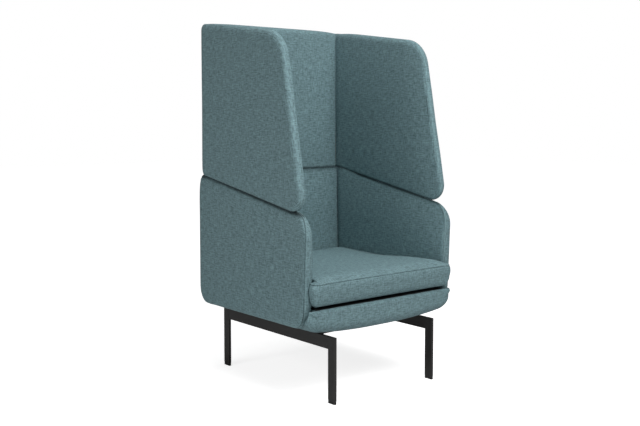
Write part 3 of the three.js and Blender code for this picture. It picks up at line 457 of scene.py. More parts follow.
def blended(first, last, end):
    """Profiles along one edge of a side: `first` up to the corner, `last` beyond it, then `end`."""
    share = eased(CORNER_STEPS)
    on = (np.arange(1, SIDE_STEPS + 1) / SIDE_STEPS)[:, None, None]
    return np.concatenate([first[None], first * (1 - share) + last * share, last * (1 - on) + end * on])


def wrapped(wall, row, profiles, height, back):
    """Carries one edge of a side on round the bend to the middle of the back, and mirrors it."""
    bend_runs = FLAT_RUN + BEND_RUN * (1 - np.arange(1, BEND_STEPS + 1) / BEND_STEPS)
    back_runs = FLAT_RUN * (1 - np.arange(1, BACK_STEPS + 1) / BACK_STEPS)
    runs = np.concatenate([bend_runs, back_runs])
    side = np.column_stack([-wall.run_at(row[:, 0]), row[:, 1]])
    far = np.column_stack([-runs, height(wall.y_at(runs))])
    turn = np.clip(np.arange(1, len(runs) + 1) / BEND_STEPS, 0, 1)[:, None, None]
    far_profiles = profiles[-1] * (1 - turn) + back * turn
    return mirrored(np.concatenate([side, far])), both_ways(np.concatenate([profiles, far_profiles]))


def wall_slab(wall, heights, radii, starts, front_profile, side_profiles, back_profiles, rows):
    """A wall as a slab. All pairs are for its top and its foot: heights as functions of y, the front
    corners' radii and starts, and profiles along a side (its two ends) and round the back."""
    nose = np.array([wall.nose_y, parting_z(wall.nose_y)])
    lean = np.array([math.sin(wall.lean), math.cos(wall.lean)])
    along = [unit(np.array([1.0, height(0.0) - height(-1.0)])) for height in heights]
    ends = [np.array([wall.bend_y, height(BEND_Y)]) for height in heights]
    at_bend = [np.array([BEND_Y, height(BEND_Y)]) for height in heights]
    top, foot = (crossing(nose, lean, place, way) for place, way in zip(at_bend, along))
    edges = []
    for k, corner in enumerate((top, foot)):
        row = side_row(foot + (top - foot) * starts[k], corner, ends[k], radii[k])
        profiles = blended(front_profile, *side_profiles[k])
        edges.append(wrapped(wall, row, profiles, heights[k], back_profiles[k]))
    (tops, top_profiles), (bottoms, bottom_profiles) = edges
    return Slab(tops, bottoms, top_profiles, bottom_profiles, rows, CORNER_STEPS + 2)


def screen_profile(outer_edge, inner_edge, thickness, notch=None):
    """Across the screen's wall: a roll, a straight stretch and a smaller roll."""
    face = double_roll(outer_edge, notch, 9) if notch else quarter(*outer_edge, 9)
    back = from_behind(quarter(*inner_edge, 7), thickness)
    middle = between(face[-1], back[0], 3)[:-1]
    return np.concatenate([face, middle, back])


# Rolls of the screen's edges, outer and inner, each with its inset and depth
SCREEN_FRONT = (21, 17), (16, 9)
SCREEN_TOP = (26, 15), (22, 11)
SCREEN_FOOT = (40, 7), (14, 8)
SCREEN_ROWS, SHELL_ROWS = 44, 40


def screen_form():
    wall = Wall(SCREEN_REAR_Y, WING_INNER_X, level(SCREEN_BACK_Y), side_until_y=BEND_Y,
                groove=0.5, pillow=4.0, crown=2.0, nose_y=WING_NOSE_Y, lean=WING_LEAN,
                front_turn=9.0, parting_turn=7.0, droop=TOP_DROOP)
    side, back = HALF_WIDTH - WING_INNER_X, SCREEN_REAR_Y - SCREEN_BACK_Y
    top = lambda thickness: screen_profile(*SCREEN_TOP, thickness)
    foot = lambda thickness: screen_profile(*SCREEN_FOOT, thickness, SCREEN_NOTCH)
    front = screen_profile(*SCREEN_FRONT, side)
    heights = screen_top_z, lambda y: parting_z(y) + PARTING_GAP
    side_profiles = (top(side), top(side)), (foot(side), foot(side))
    return wall, wall_slab(wall, heights, WING_RADII, WING_STARTS, front, side_profiles,
                           (top(back), foot(back)), SCREEN_ROWS)


def shell_profile(inset, thickness, seams, relief=1.0, raised=0.0, notch=None):
    """Across an arm: the outer pad's roll, a seam, the strip, a seam and the inner pad's edge.
    Relief 1 shows the seams, relief 0 leaves a plain edge."""
    first, last = seams[0], thickness - seams[1]
    drop = 2.4 * relief - raised
    roll = quarter(inset, max(first - 2.0, 0.5), 8, from_inset=drop)
    if notch:
        roll = double_roll((inset, first - 2.0 - notch[1]), notch, 8) - [raised, 0]
    strip = np.array([
        [8.5, first], [2.4, first + 2.0], [0.7, first + 3.8], [0.0, first + 6.5],
        *[[-1.2 * math.sin(math.pi * s), first + 6.5 + (last - first - 13) * s] for s in (0.25, 0.5, 0.75)],
        [0.0, last - 6.5], [0.7, last - 3.8], [2.4, last - 2.0], [8.5, last],
    ])
    strip[:, 0] = strip[:, 0] * relief - raised
    back = from_behind(quarter(PAD_EDGE, thickness - last - 1.4, 4, from_inset=drop), thickness)
    return np.concatenate([roll, strip, back])


def lower_back_y(z):
    share = (LOWER_BACK_TOP_Y - LOWER_BACK_FOOT_Y) / LOWER_BACK_RISE
    return LOWER_BACK_FOOT_Y + (z - LOWER_BACK_FOOT_Z) * share


def shell_form():
    wall = Wall(SHELL_REAR_Y, ARM_INNER_X, lower_back_y, side_until_y=150.0,
                groove=4.0, pillow=1.0, crown=1.0, nose_y=ARM_NOSE_Y, lean=ARM_LEAN,
                front_turn=5.0, parting_turn=14.0)
    side, back_foot = HALF_WIDTH - ARM_INNER_X, SHELL_REAR_Y - LOWER_BACK_FOOT_Y
    top = lambda thickness: shell_profile(SHELL_ROLL, thickness, (22.0, 5.0), 0.0, 1.5, SHELL_NOTCH)
    foot = lambda inset: shell_profile(inset, side, (24.0, 3.8))
    front = shell_profile(9, side, (4.0, 3.8))
    back_profiles = top(SHELL_REAR_Y - LOWER_BACK_TOP_Y), shell_profile(SHELL_ROLL, back_foot, (50.0, 3.8))
    return wall, wall_slab(wall, (parting_z, level(SHELL_BOTTOM_Z)), ARM_RADII, ARM_STARTS, front,
                           ((top(side), top(side)), (foot(44), foot(60))), back_profiles, SHELL_ROWS)


def soften(positions, size, amount, seed):
    """Slight unevenness of hand-pulled cloth, with waves of a size and a height."""
    moves = np.array([ripple(p, size, seed) for p in positions]) * amount
    centre = np.array([0.0, -40.0, 0.0])
    away = positions - centre
    away[:, 2] = 0
    away /= np.maximum(np.linalg.norm(away, axis=1), 1)[:, None]
    return positions + away * moves[:, None]


def make_screen():
    wall, slab = screen_form()
    positions = soften(wall.place(slab.flats, parting_z, screen_top_z), 130.0, 0.9, 3.0)
    piece = make_piece("screen_cover", positions, slab.faces, slab.uvs)
    # Painted shade in the inner corners' seams and in the parting's crease
    shade_seams(piece, wall.painted_crease_shade(slab.flats))
    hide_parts("screen_outer_pad", "left_wing_inner_pad", "right_wing_inner_pad",
                "upper_back_inner_pad")
    return piece


def make_shell():
    wall, slab = shell_form()
    positions = soften(wall.place(slab.flats, level(SHELL_BOTTOM_Z), parting_z), 120.0, 0.7, 11.0)
    piece = make_piece("seat_shell_cover", positions, slab.faces, slab.uvs)
    # Painted shade in the strip's seams and beside them, in the inner corners and in the parting's crease
    strip_painted_shade = ring_painted_shade(slab, STRIP_SEAMS) + ring_painted_shade(slab, BESIDE_STRIP_SEAMS, 0.25)
    shade_seams(piece, np.maximum(wall.painted_crease_shade(slab.flats), strip_painted_shade))
    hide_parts("shell_outer_pad", "left_arm_inner_pad", "right_arm_inner_pad",
                "lower_back_inner_pad", "left_arm_band", "right_arm_band")
    return piece, slab, positions


# Seat base

# The sweep is the foot's rise, its reach and its power; the radii and the margins below the top
# belong to the nose's upper and lower corners; each painted shade, darker towards the foot, has a
# strength and a height above the foot
BASE_Z = (240.6, 337.6)
BASE_NOSE_Y = -358.0
BASE_EAR_X = 353.0
BASE_BODY_X = 315.0
BASE_NOSE_REAR_Y = -296.0
BASE_BOW = 8.0
BASE_SWEEP = (13.0, 290.0, 2.5)
BASE_RADII = (14.0, 56.0)
FOOT_SHADES = ((0.35, 32), (0.45, 9))
BASE_SIDE_MARGINS = (18.0, 24.0)
BASE_DECK_REAR_Y = 276.0
BASE_COVER_FOOT_Z = 259.2
BASE_COVER_SAG = 3.0
ARM_CLEARANCE = 2.5


def arm_room(sign):
    """The room that a base ear leaves for the rounded foot of an arm, as a prism along X."""
    radius = ARM_RADII[1] + ARM_CLEARANCE
    centre_y, centre_z = ARM_NOSE_Y + ARM_RADII[1] + 1.0, SHELL_BOTTOM_Z + ARM_RADII[1]
    rear_y, top_z = centre_y + 40, centre_z + 60
    turns = np.linspace(0, math.pi / 2, 13)
    ring = [(centre_y - radius * math.cos(t), centre_z - radius * math.sin(t)) for t in turns]
    ring += [(rear_y, centre_z - radius), (rear_y, top_z), (centre_y - radius, top_z)]
    count = len(ring)
    inner, outer = sign * (BASE_BODY_X + 0.5), sign * (HALF_WIDTH + 20)
    points = [(x, y, z) for x in (inner, outer) for y, z in ring]
    faces = [tuple(range(count)), tuple(range(2 * count - 1, count - 1, -1))]
    faces += [(k, count + k, count + (k + 1) % count, (k + 1) % count) for k in range(count)]
    return make_piece("arm_room", points, faces)


def cut_away(piece, cutters):
    """Takes the cutters' room out of a piece, and removes the cutters."""
    for cutter in cutters:
        cut = piece.modifiers.new("cut", "BOOLEAN")
        cut.operation, cut.solver, cut.object = "DIFFERENCE", "EXACT", cutter
        shown = piece.evaluated_get(bpy.context.evaluated_depsgraph_get())
        old, piece.data = piece.data, bpy.data.meshes.new_from_object(shown)
        piece.modifiers.clear()
        bpy.data.meshes.remove(old)
        bpy.data.objects.remove(cutter)


def base_front_form():
    """The base's nose, a padded slab seen from the front: x across, z up, depth along Y."""
    steps, straight, thickness = 12, 44, BASE_NOSE_REAR_Y - BASE_NOSE_Y

    def profile(inset, depth):
        face = quarter(inset, depth, 10)
        back = np.array([[0.0, thickness - 1.5], [0.5, thickness - 0.4], [1.5, thickness]])
        return np.concatenate([face, between(face[-1], back[0], 3)[:-1], back])

    end = profile(38, 38)
    share = eased(steps)
    rows, profiles = [], []
    for z, radius, margin, edge in zip(BASE_Z[::-1], BASE_RADII, BASE_SIDE_MARGINS,
                                       (profile(13, 14), profile(44, 48))):
        side = np.array([-BASE_EAR_X, BASE_Z[1] - margin])
        middle = np.array([0.0, z])
        turn = rounded_corner(side, np.array([-BASE_EAR_X, z]), middle, radius, steps)
        rows.append(mirrored(np.concatenate([side[None], turn, between(turn[-1], middle, straight)])))
        half = np.concatenate([end[None], end * (1 - share) + edge * share, repeated(edge, straight)])
        profiles.append(both_ways(half))
    return Slab(*rows, *profiles, 14), thickness


def make_base_front():
    slab, thickness = base_front_form()
    low, high = BASE_Z
    x, z, depth, _ = slab.flats.T
    bow = BASE_BOW * np.clip(np.abs(x) / BASE_BODY_X, 0, 1) ** 2
    y = BASE_NOSE_Y + bow * (1 - depth / thickness) + depth
    rise, reach, power = BASE_SWEEP
    z = z + rise * (np.abs(x) / reach) ** power * np.clip((high - z) / (high - low), 0, 1)
    positions = soften(np.column_stack([x, y, z]), 90.0, 0.6, 21.0)
    piece = make_piece("seat_base_front", positions, slab.faces, slab.uvs)
    cut_away(piece, [arm_room(-1), arm_room(1)])
    points = np.array([corner.co for corner in piece.data.vertices]) / MM
    # Painted shade along the nose's foot, darker towards the bottom
    above = points[:, 2] - low - rise * (np.abs(points[:, 0]) / reach) ** power
    shade_seams(piece, sum(shade * np.clip(1 - above / height, 0, 1) for shade, height in FOOT_SHADES))
    return piece


def make_base_platform():
    """The base behind its nose: a cover with a hollow below for the rails and the foam."""
    top_z, columns = BASE_Z[1], 40
    depth, hollow, rim = top_z - BASE_COVER_FOOT_Z, 12.0, 14.0
    across = np.linspace(-BASE_BODY_X, BASE_BODY_X, columns)
    rear, front = (np.column_stack([across, np.full(columns, y)])
                   for y in (BASE_DECK_REAR_Y, BASE_NOSE_REAR_Y - 2.0))
    below = [[0.0, depth], [4.0, depth], [rim, depth], [rim, hollow]]
    profiles = repeated(np.concatenate([quarter(6, 6, 5), below]), columns)
    slab = Slab(rear, front, profiles, profiles, 36)
    x, y, into, _ = slab.flats.T
    sag = np.cos(np.clip(x / BASE_BODY_X, -1, 1) * math.pi / 2) * np.clip(1 - into / 10, 0, 1)
    positions = np.column_stack([x, y, top_z - into - BASE_COVER_SAG * sag])
    return make_piece("seat_base_platform", positions, slab.faces, slab.uvs)


# Seat cushion

# Radii of the ears' heels, the rear and the front corners; the tilt at the front and the rear; the
# nose's lift and reach; the swell's limits outwards and inwards; the insets of the top and the foot
# and the foot's depth, at the rear, the front and the ears; the sway at the front, middle and rear
CUSHION_Z = (337.9, 427.9)
CUSHION_FRONT_Y = -363.0
CUSHION_REAR_Y = 273.0
CUSHION_EAR_X = 341.0
CUSHION_BODY_X = 315.0
CUSHION_EAR_Y = -330.0
EAR_REACH = 0.4
CUSHION_SHRINK = 2.0
CUSHION_RADII = (4.0, 16.0, 22.0)
CUSHION_GRID, CUSHION_ROWS = 9.0, 56
CUSHION_CROWN = 8.0
CUSHION_ARCH = 4.5
CUSHION_TILT = (4.0, -4.0)
CUSHION_NOSE = (18.0, 100.0)
CUSHION_SWELL = (6.0, 1.0)
CUSHION_FEET = ((4, 10, 14), (22, 24, 36), (10, 18, 30))
EAR_ROUND = 30.0
ARM_TOUCH = 0.9
CUSHION_SIDE_X, CUSHION_SIDE_REACH = 285.0, 45.0
CUSHION_SWAY = (6.0, 5.0, 4.0)
FOAM_SCALE, FOAM_MARGINS = (0.97, 0.97, 0.82), (14, 16, 10)
LINING_SCALE, LINING_DROP, LINING_THICKNESS = (0.992, 0.992, 1.0), 0.4, 1.2

# The cushion's rings from its top: its seam's number, how far it and its neighbours sink, how far it
# lies below the top, the half widths that aim its sinking, how much of it shows behind the ears and
# how much painted shade darkens its groove
SEAM_RING = 8
SEAM_SINKS = ((-1, 0.5), (0, 4.6), (1, 0.5))
SEAM_DROP = 6.0
SEAM_SPAN = (340, 320)
HIDDEN_SEAM = 0.3
SEAM_SHADE = 0.8


def refined(rear, front, step):
    """Adds points to paired rows, alike in both, until no gap is much over `step`."""
    out_rear, out_front = [rear[:1]], [front[:1]]
    for k in range(len(rear) - 1):
        length = max(np.linalg.norm(rear[k + 1] - rear[k]), np.linalg.norm(front[k + 1] - front[k]))
        count = max(int(math.ceil(length / step)), 1)
        out_rear.append(between(rear[k], rear[k + 1], count))
        out_front.append(between(front[k], front[k + 1], count))
    return np.concatenate(out_rear), np.concatenate(out_front)


def cushion_rows():
    """The left half of the cushion's plan, as paired rear and front points."""
    at = lambda x, y: np.array([float(x), float(y)])
    nose, rear = CUSHION_FRONT_Y + CUSHION_SHRINK, CUSHION_REAR_Y - CUSHION_SHRINK
    ear = CUSHION_EAR_Y + EAR_REACH
    ear_x, body_x = CUSHION_EAR_X - CUSHION_SHRINK, CUSHION_BODY_X - CUSHION_SHRINK
    heel_radius, back_radius, corner_radius = CUSHION_RADII
    heel = rounded_corner(at(-ear_x, nose), at(-ear_x, ear), at(0, ear), heel_radius, 4)
    back = rounded_corner(at(-body_x, 0), at(-body_x, rear), at(0, rear), back_radius, 5)
    corner = rounded_corner(at(-ear_x, ear), at(-ear_x, nose), at(0, nose), corner_radius, 7)
    rears = np.array([*heel, at(-(body_x + 6), ear), at(-body_x, ear + 4), at(-body_x, ear + 120),
                      at(-body_x, 0), *back, at(-body_x * 0.8, rear), at(-body_x / 2, rear), at(0, rear)])
    shares = [0.975, 0.95, 0.93, 0.91, 0.88, 0.86, 0.84, 0.82, 0.8, 0.77]
    return rears, np.array([*corner, *[at(-body_x * share, nose) for share in shares]])


def cushion_profile(top_inset, inset, depth):
    """From the top over its seam and down the side to a foot roll of the given inset and depth."""
    height = CUSHION_Z[1] - CUSHION_Z[0]
    top = quarter(top_inset, SEAM_DROP, SEAM_RING)
    top[-2] = [0.3, SEAM_DROP - 2.0]
    foot = from_behind(quarter(inset, depth, 8), height)
    below_seam = top[-1] + [-0.2, 2.2]
    side = between(below_seam, foot[0], 7)[:-1]
    side[:, 0] -= 3.5 * np.sin(np.pi * np.arange(1, 7) / 7)
    return np.concatenate([top, below_seam[None], side, foot])


def cushion_form():
    rears, fronts = refined(*cushion_rows(), CUSHION_GRID)
    rear_row, front_row = mirrored(rears), mirrored(fronts)
    rear_shape, front_shape, corner_shape = (cushion_profile(*foot) for foot in CUSHION_FEET)
    cornerwise = smoothstep(CUSHION_EAR_X - 75, CUSHION_EAR_X - 6, np.abs(front_row[:, 0]))[:, None, None]
    front_profiles = front_shape * (1 - cornerwise) + corner_shape * cornerwise
    slab = Slab(rear_row, front_row, repeated(rear_shape, len(rear_row)), front_profiles,
                CUSHION_ROWS)
    x, y, into, height = slab.flats.T
    middle, half = (CUSHION_FRONT_Y + CUSHION_REAR_Y) / 2, (CUSHION_REAR_Y - CUSHION_FRONT_Y) / 2
    across, along = np.abs(x) / CUSHION_EAR_X, np.abs(y - middle) / half
    crown = CUSHION_CROWN * np.clip(1 - across ** 7, 0, 1) * np.clip(1 - along ** 7, 0, 1)
    crown += CUSHION_ARCH * np.clip(1 - across ** 2, 0, 1)
    lift = CUSHION_NOSE[0] * np.clip(1 - (y - CUSHION_FRONT_Y) / CUSHION_NOSE[1], 0, 1) ** 2
    into_corner = np.clip(np.abs(x) - (CUSHION_EAR_X - CUSHION_SHRINK - EAR_ROUND), 0, EAR_ROUND)
    lift += EAR_ROUND - np.sqrt(EAR_ROUND ** 2 - into_corner ** 2)
    share = into / height
    raised = np.interp(y, (CUSHION_FRONT_Y, CUSHION_REAR_Y), CUSHION_TILT)
    z = CUSHION_Z[1] + raised - into * (height + raised - CUSHION_SHRINK / 2) / height
    z += crown * (1 - share) + lift * share
    return slab, np.column_stack([x, y, z])


def inflate(piece, frames=20, pressure=4.0):
    """Swells a closed cloth form by simulation, and returns its swollen points in millimetres."""
    scene = bpy.context.scene
    cloth = piece.modifiers.new("cloth", "CLOTH")
    cloth.settings.use_pressure = True
    cloth.settings.uniform_pressure_force = pressure
    cloth.settings.tension_stiffness = 18
    cloth.settings.compression_stiffness = 18
    cloth.settings.bending_stiffness = 0.6
    cloth.settings.effector_weights.gravity = 0
    cloth.point_cache.frame_start = 1
    cloth.point_cache.frame_end = frames
    for number in range(1, frames + 1):
        scene.frame_set(number)
    shown = piece.evaluated_get(bpy.context.evaluated_depsgraph_get())
    moved = np.zeros(len(shown.data.vertices) * 3)
    shown.data.vertices.foreach_get("co", moved)
    piece.modifiers.clear()
    scene.frame_set(1)
    return moved.reshape(-1, 3) / MM


def capped(before, after, normals, outward_limit, inward_limit):
    """The simulated move of each point, held to a limit outwards and to a smaller one inwards."""
    move = after - before
    length = np.maximum(np.linalg.norm(move, axis=1), 1e-9)
    outward = (move * normals).sum(axis=1) > 0
    limit = np.where(outward, outward_limit, inward_limit)
    return before + move * np.minimum(1, limit / length)[:, None]


def fitted(positions):
    """Presses the swollen cushion flat where it meets the arms, the back and the base."""
    x, y, z = positions.T.copy()
    beside_arms = y > CUSHION_EAR_Y + EAR_REACH + 0.6
    arm_x = ARM_INNER_X - ARM_TOUCH
    limit = np.where(beside_arms, arm_x, CUSHION_EAR_X + 6)
    x = np.clip(x, -limit, limit)
    ear = np.abs(x) > arm_x
    y = np.where(ear, np.minimum(y, CUSHION_EAR_Y + EAR_REACH), y)
    y = np.clip(y, CUSHION_FRONT_Y - 8, LOWER_BACK_FOOT_Y - 1.0)
    z = np.maximum(z, CUSHION_Z[0] + 0.4)
    return np.column_stack([x, y, z])


def lounge_top(positions):
    """The top as it lies in the photo: fuller along both sides, a little lower between front and rear."""
    x, y, z = positions.T.copy()
    top = smoothstep(CUSHION_Z[1] - 25, CUSHION_Z[1] - 2, z)
    side = np.exp(-((np.abs(x) - CUSHION_SIDE_X) / CUSHION_SIDE_REACH) ** 2)
    front_rise, middle_fall, rear_rise = CUSHION_SWAY
    sway = front_rise * smoothstep(-60, -300, y) - middle_fall * np.exp(-((y + 10) / 90.0) ** 2)
    sway += rear_rise * smoothstep(120, 240, y)
    edge = smoothstep(CUSHION_FRONT_Y, CUSHION_FRONT_Y + 45, y)
    return np.column_stack([x, y, z + top * side * sway * edge])


def make_cushion():
    slab, positions = cushion_form()
    piece = make_piece("seat_cushion_cover_soft", positions, slab.faces, slab.uvs)
    normals = vertex_normals(piece)
    outward, inward = CUSHION_SWELL
    share = slab.flats[:, 2] / slab.flats[:, 3]
    outward = outward * (1 - 0.8 * smoothstep(0.6, 0.9, share))
    positions = capped(positions, inflate(piece), normals, outward, inward)
    positions = lounge_top(fitted(positions))
    ring = slab.ring(SEAM_RING)
    centre = positions[ring].mean(axis=0)
    in_front = smoothstep(CUSHION_EAR_Y + 4, CUSHION_EAR_Y - 8, positions[ring][:, 1])
    seen = HIDDEN_SEAM + (1 - HIDDEN_SEAM) * in_front
    for step, sink in SEAM_SINKS:
        part = slab.ring(SEAM_RING + step)
        away = positions[part] - centre
        outward = np.column_stack([away[:, :2] / SEAM_SPAN, np.full(len(away), 0.5)])
        outward /= np.linalg.norm(outward, axis=1)[:, None]
        positions[part] -= outward * (sink * seen)[:, None]
    piece.data.vertices.foreach_set("co", (positions * MM).ravel())
    piece.data.update()
    # Painted shade along the seam's groove, weaker behind the ears
    amounts = ring_painted_shade(slab, (SEAM_RING,), SEAM_SHADE)
    amounts[ring] *= seen
    shade_seams(piece, amounts)
    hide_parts("seat_cushion_cover")
    return piece, slab, positions


def make_cushion_foam(slab, positions):
    """The foam inside, which fills the swollen cover."""
    middle = np.array([0.0, (CUSHION_FRONT_Y + CUSHION_REAR_Y) / 2, sum(CUSHION_Z) / 2])
    inside = middle + (positions - middle) * FOAM_SCALE
    side, front, rear = FOAM_MARGINS
    inside[:, 0] = np.clip(inside[:, 0], side - CUSHION_BODY_X, CUSHION_BODY_X - side)
    inside[:, 1] = np.clip(inside[:, 1], CUSHION_FRONT_Y + front, CUSHION_REAR_Y - rear)
    foam = make_piece("seat_cushion_foam", inside, slab.faces, slab.uvs)
    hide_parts("seat_cushion_core")
    return foam


def make_cushion_lining(slab, positions):
    """The black cloth that closes the cover from below: two layers of the cover's lower face."""
    foot = slab.faces[-(slab.columns - 1) * slab.rows:]
    used = sorted({corner for face in foot for corner in face})
    place = {corner: number for number, corner in enumerate(used)}
    count = len(used)
    middle = np.array([0.0, (CUSHION_FRONT_Y + CUSHION_REAR_Y) / 2, 0.0])
    below = middle + (positions[used] - middle) * LINING_SCALE - [0, 0, LINING_DROP]
    points = np.concatenate([below, below + [0, 0, LINING_THICKNESS]])
    faces = [tuple(place[corner] for corner in face) for face in foot]
    faces += [tuple(number + count for number in face[::-1]) for face in faces]
    first = (slab.rings - 1) * slab.count
    rim = [place[first + k] for k in range(slab.count)]
    faces += [(a, b, b + count, a + count) for a, b in zip(rim, rim[1:] + rim[:1])]
    uvs = [[tuple(points[corner][:2]) for corner in face] for face in faces]
    lining = make_piece("seat_cushion_lining", points, faces, uvs)
    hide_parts("seat_cushion_underside")
    return lining


# Stitching

def stitches(name, points, normals, pitch=6.0, length=4.4, radius=0.7, sides=6):
    """A row of small thread stitches along a line on the cloth."""
    gaps = np.linalg.norm(np.diff(points, axis=0), axis=1)
    along = np.concatenate([[0], np.cumsum(gaps)])
    sample = lambda s: np.array([np.interp(s, along, points[:, k]) for k in range(3)])
    lean = lambda s: unit(np.array([np.interp(s, along, normals[:, k]) for k in range(3)]))
    vertices, faces = [], []
    for number in range(int(along[-1] / pitch)):
        start = number * pitch + (pitch - length) / 2
        shares = [(-0.5, 0.1), (-0.42, 0.75), (-0.2, 1.0), (0.2, 1.0), (0.42, 0.75), (0.5, 0.1)]
        middle = start + length / 2
        first = len(vertices)
        for share, thick in shares:
            at, up = sample(middle + share * length), lean(middle)
            ahead = unit(sample(middle + 0.5) - sample(middle - 0.5))
            across = unit(np.cross(ahead, up))
            height = radius * (0.55 - 1.1 * abs(share) ** 2 * 2)
            for side in range(sides):
                turn = 2 * math.pi * side / sides
                vertices.append(at + up * (height + radius * thick * math.sin(turn))
                                + across * radius * thick * math.cos(turn))
        for ring in range(len(shares) - 1):
            for side in range(sides):
                a, b = first + ring * sides + side, first + ring * sides + (side + 1) % sides
                faces.append((a, b, b + sides, a + sides))
        faces.append(tuple(first + side for side in range(sides))[::-1])
        faces.append(tuple(first + (len(shares) - 1) * sides + side for side in range(sides)))
    return make_piece(name, np.array(vertices), faces)


def vertex_normals(piece):
    values = np.zeros(len(piece.data.vertices) * 3)
    piece.data.vertex_normals.foreach_get("vector", values)
    return values.reshape(-1, 3)


def arm_stitches(shell, slab, positions):
    normals = vertex_normals(shell)
    pieces = []
    for side, on_right in (("left", False), ("right", True)):
        for name, ring in zip(("outer", "inner"), STRIP_STITCHES):
            ids = slab.path(ring, STITCHED_COLUMNS, on_right)
            pieces.append(stitches(f"{side}_arm_topstitch_{name}", positions[ids], normals[ids]))
    return pieces


def cushion_stitches(cushion, slab, positions):
    first = slab.ring(SEAM_RING - 3).start
    ids = [first + slab.edge_id(i, slab.rows) for i in range(slab.columns)]
    return stitches("seat_cushion_topstitch", positions[ids], vertex_normals(cushion)[ids])


# Metal: the CAD's bars with softened edges

BAR_BEVEL = 1.0


def softened_copy(name, node):
    piece = placed(name, frame["nodes"][node].data.copy())
    work = bmesh.new()
    work.from_mesh(piece.data)
    bmesh.ops.remove_doubles(work, verts=work.verts, dist=1e-6)
    bmesh.ops.dissolve_limit(work, angle_limit=0.02, verts=work.verts, edges=work.edges)
    sharp = [e for e in work.edges if len(e.link_faces) == 2 and e.calc_face_angle(0) > 0.6]
    bmesh.ops.bevel(work, geom=sharp, offset=BAR_BEVEL * MM, segments=3, profile=0.5,
                    affect="EDGES", clamp_overlap=True)
    work.to_mesh(piece.data)
    work.free()
    piece.data.polygons.foreach_set("use_smooth", [False] * len(piece.data.polygons))
    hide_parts(node)
    return piece


# Materials

def new_material(name):
    material = bpy.data.materials.new(name)
    material.use_nodes = True
    tree = material.node_tree
    shader = tree.nodes["Principled BSDF"]
    return material, tree, shader


def connect(tree, node, inputs):
    """Links a node's inputs to outputs of others, or sets them to values."""
    for key, value in inputs.items():
        if hasattr(value, "is_output"):
            tree.links.new(value, node.inputs[key])
        else:
            node.inputs[key].default_value = value


def add(tree, kind, inputs=None, **settings):
    made = tree.nodes.new(kind)
    for key, value in settings.items():
        setattr(made, key, value)
    connect(tree, made, inputs or {})
    return made


def mapped(tree, value, low, high, start=0.0, end=1.0):
    return add(tree, "ShaderNodeMapRange", {
        "Value": value, "From Min": start, "From Max": end, "To Min": low, "To Max": high,
    }).outputs["Result"]


def bumped(tree, shader, height, strength, distance, over=None):
    """Gives a shader a bump, over another bump if there is one."""
    inputs = {"Height": height, "Strength": strength, "Distance": distance}
    if over:
        inputs["Normal"] = over
    normal = add(tree, "ShaderNodeBump", inputs).outputs["Normal"]
    connect(tree, shader, {"Normal": normal})
    return normal


def object_space(tree):
    return add(tree, "ShaderNodeTexCoord").outputs["Object"]


def scaled(tree, vector, scale):
    return add(tree, "ShaderNodeMapping", {"Vector": vector, "Scale": scale}).outputs["Vector"]


def noise_of(tree, vector, scale, detail=2.0, roughness=0.5):
    inputs = {"Vector": vector, "Scale": scale, "Detail": detail, "Roughness": roughness}
    return add(tree, "ShaderNodeTexNoise", inputs).outputs["Fac"]


def ramp_of(tree, factor, stops):
    made = add(tree, "ShaderNodeValToRGB", {"Fac": factor})
    ramp, stops = made.color_ramp, list(stops)
    while len(ramp.elements) < len(stops):
        ramp.elements.new(0.5)
    for element, (place, colour) in zip(ramp.elements, stops):
        element.position = place
        element.color = (*colour, 1)
    return made.outputs["Color"]


def maths(tree, operation, *values):
    return add(tree, "ShaderNodeMath", dict(enumerate(values)), operation=operation).outputs[0]


def weave(tree, vector, pitch):
    """Height of a plain weave: over and under on a checker of thread crossings."""
    inputs = {"Vector": vector, "Scale": math.pi / 10 / pitch, "Distortion": 0.6, "Detail": 1.0}
    waves = [add(tree, "ShaderNodeTexWave", inputs, bands_direction=axis).outputs["Fac"] for axis in "XY"]
    flipped = [maths(tree, "SUBTRACT", 1.0, wave) for wave in waves]
    return maths(tree, "ADD", maths(tree, "MULTIPLY", *waves), maths(tree, "MULTIPLY", *flipped))


CLOTH_TONE = (0.167, 0.263, 0.284)
CLOTH_SPREAD = 0.3
CLOTH_STOPS = ((0.33, -2.0), (0.47, -0.5), (0.54, 0.5), (0.68, 2.2))
STREAKS = (42, 230)
WEAVE_PITCH = 0.0016
# The brightness left where the painted shade of seams and creases is full
FULL_PAINTED_SHADE = 0.25
# Painted light by how far a face turns from the camera: a painted highlight face-on, painted shade at
# silhouettes
FACING_PAINTED_LIGHT = ((0.0, 1.22), (0.2, 1.0), (0.88, 1.0), (1.0, 0.5))


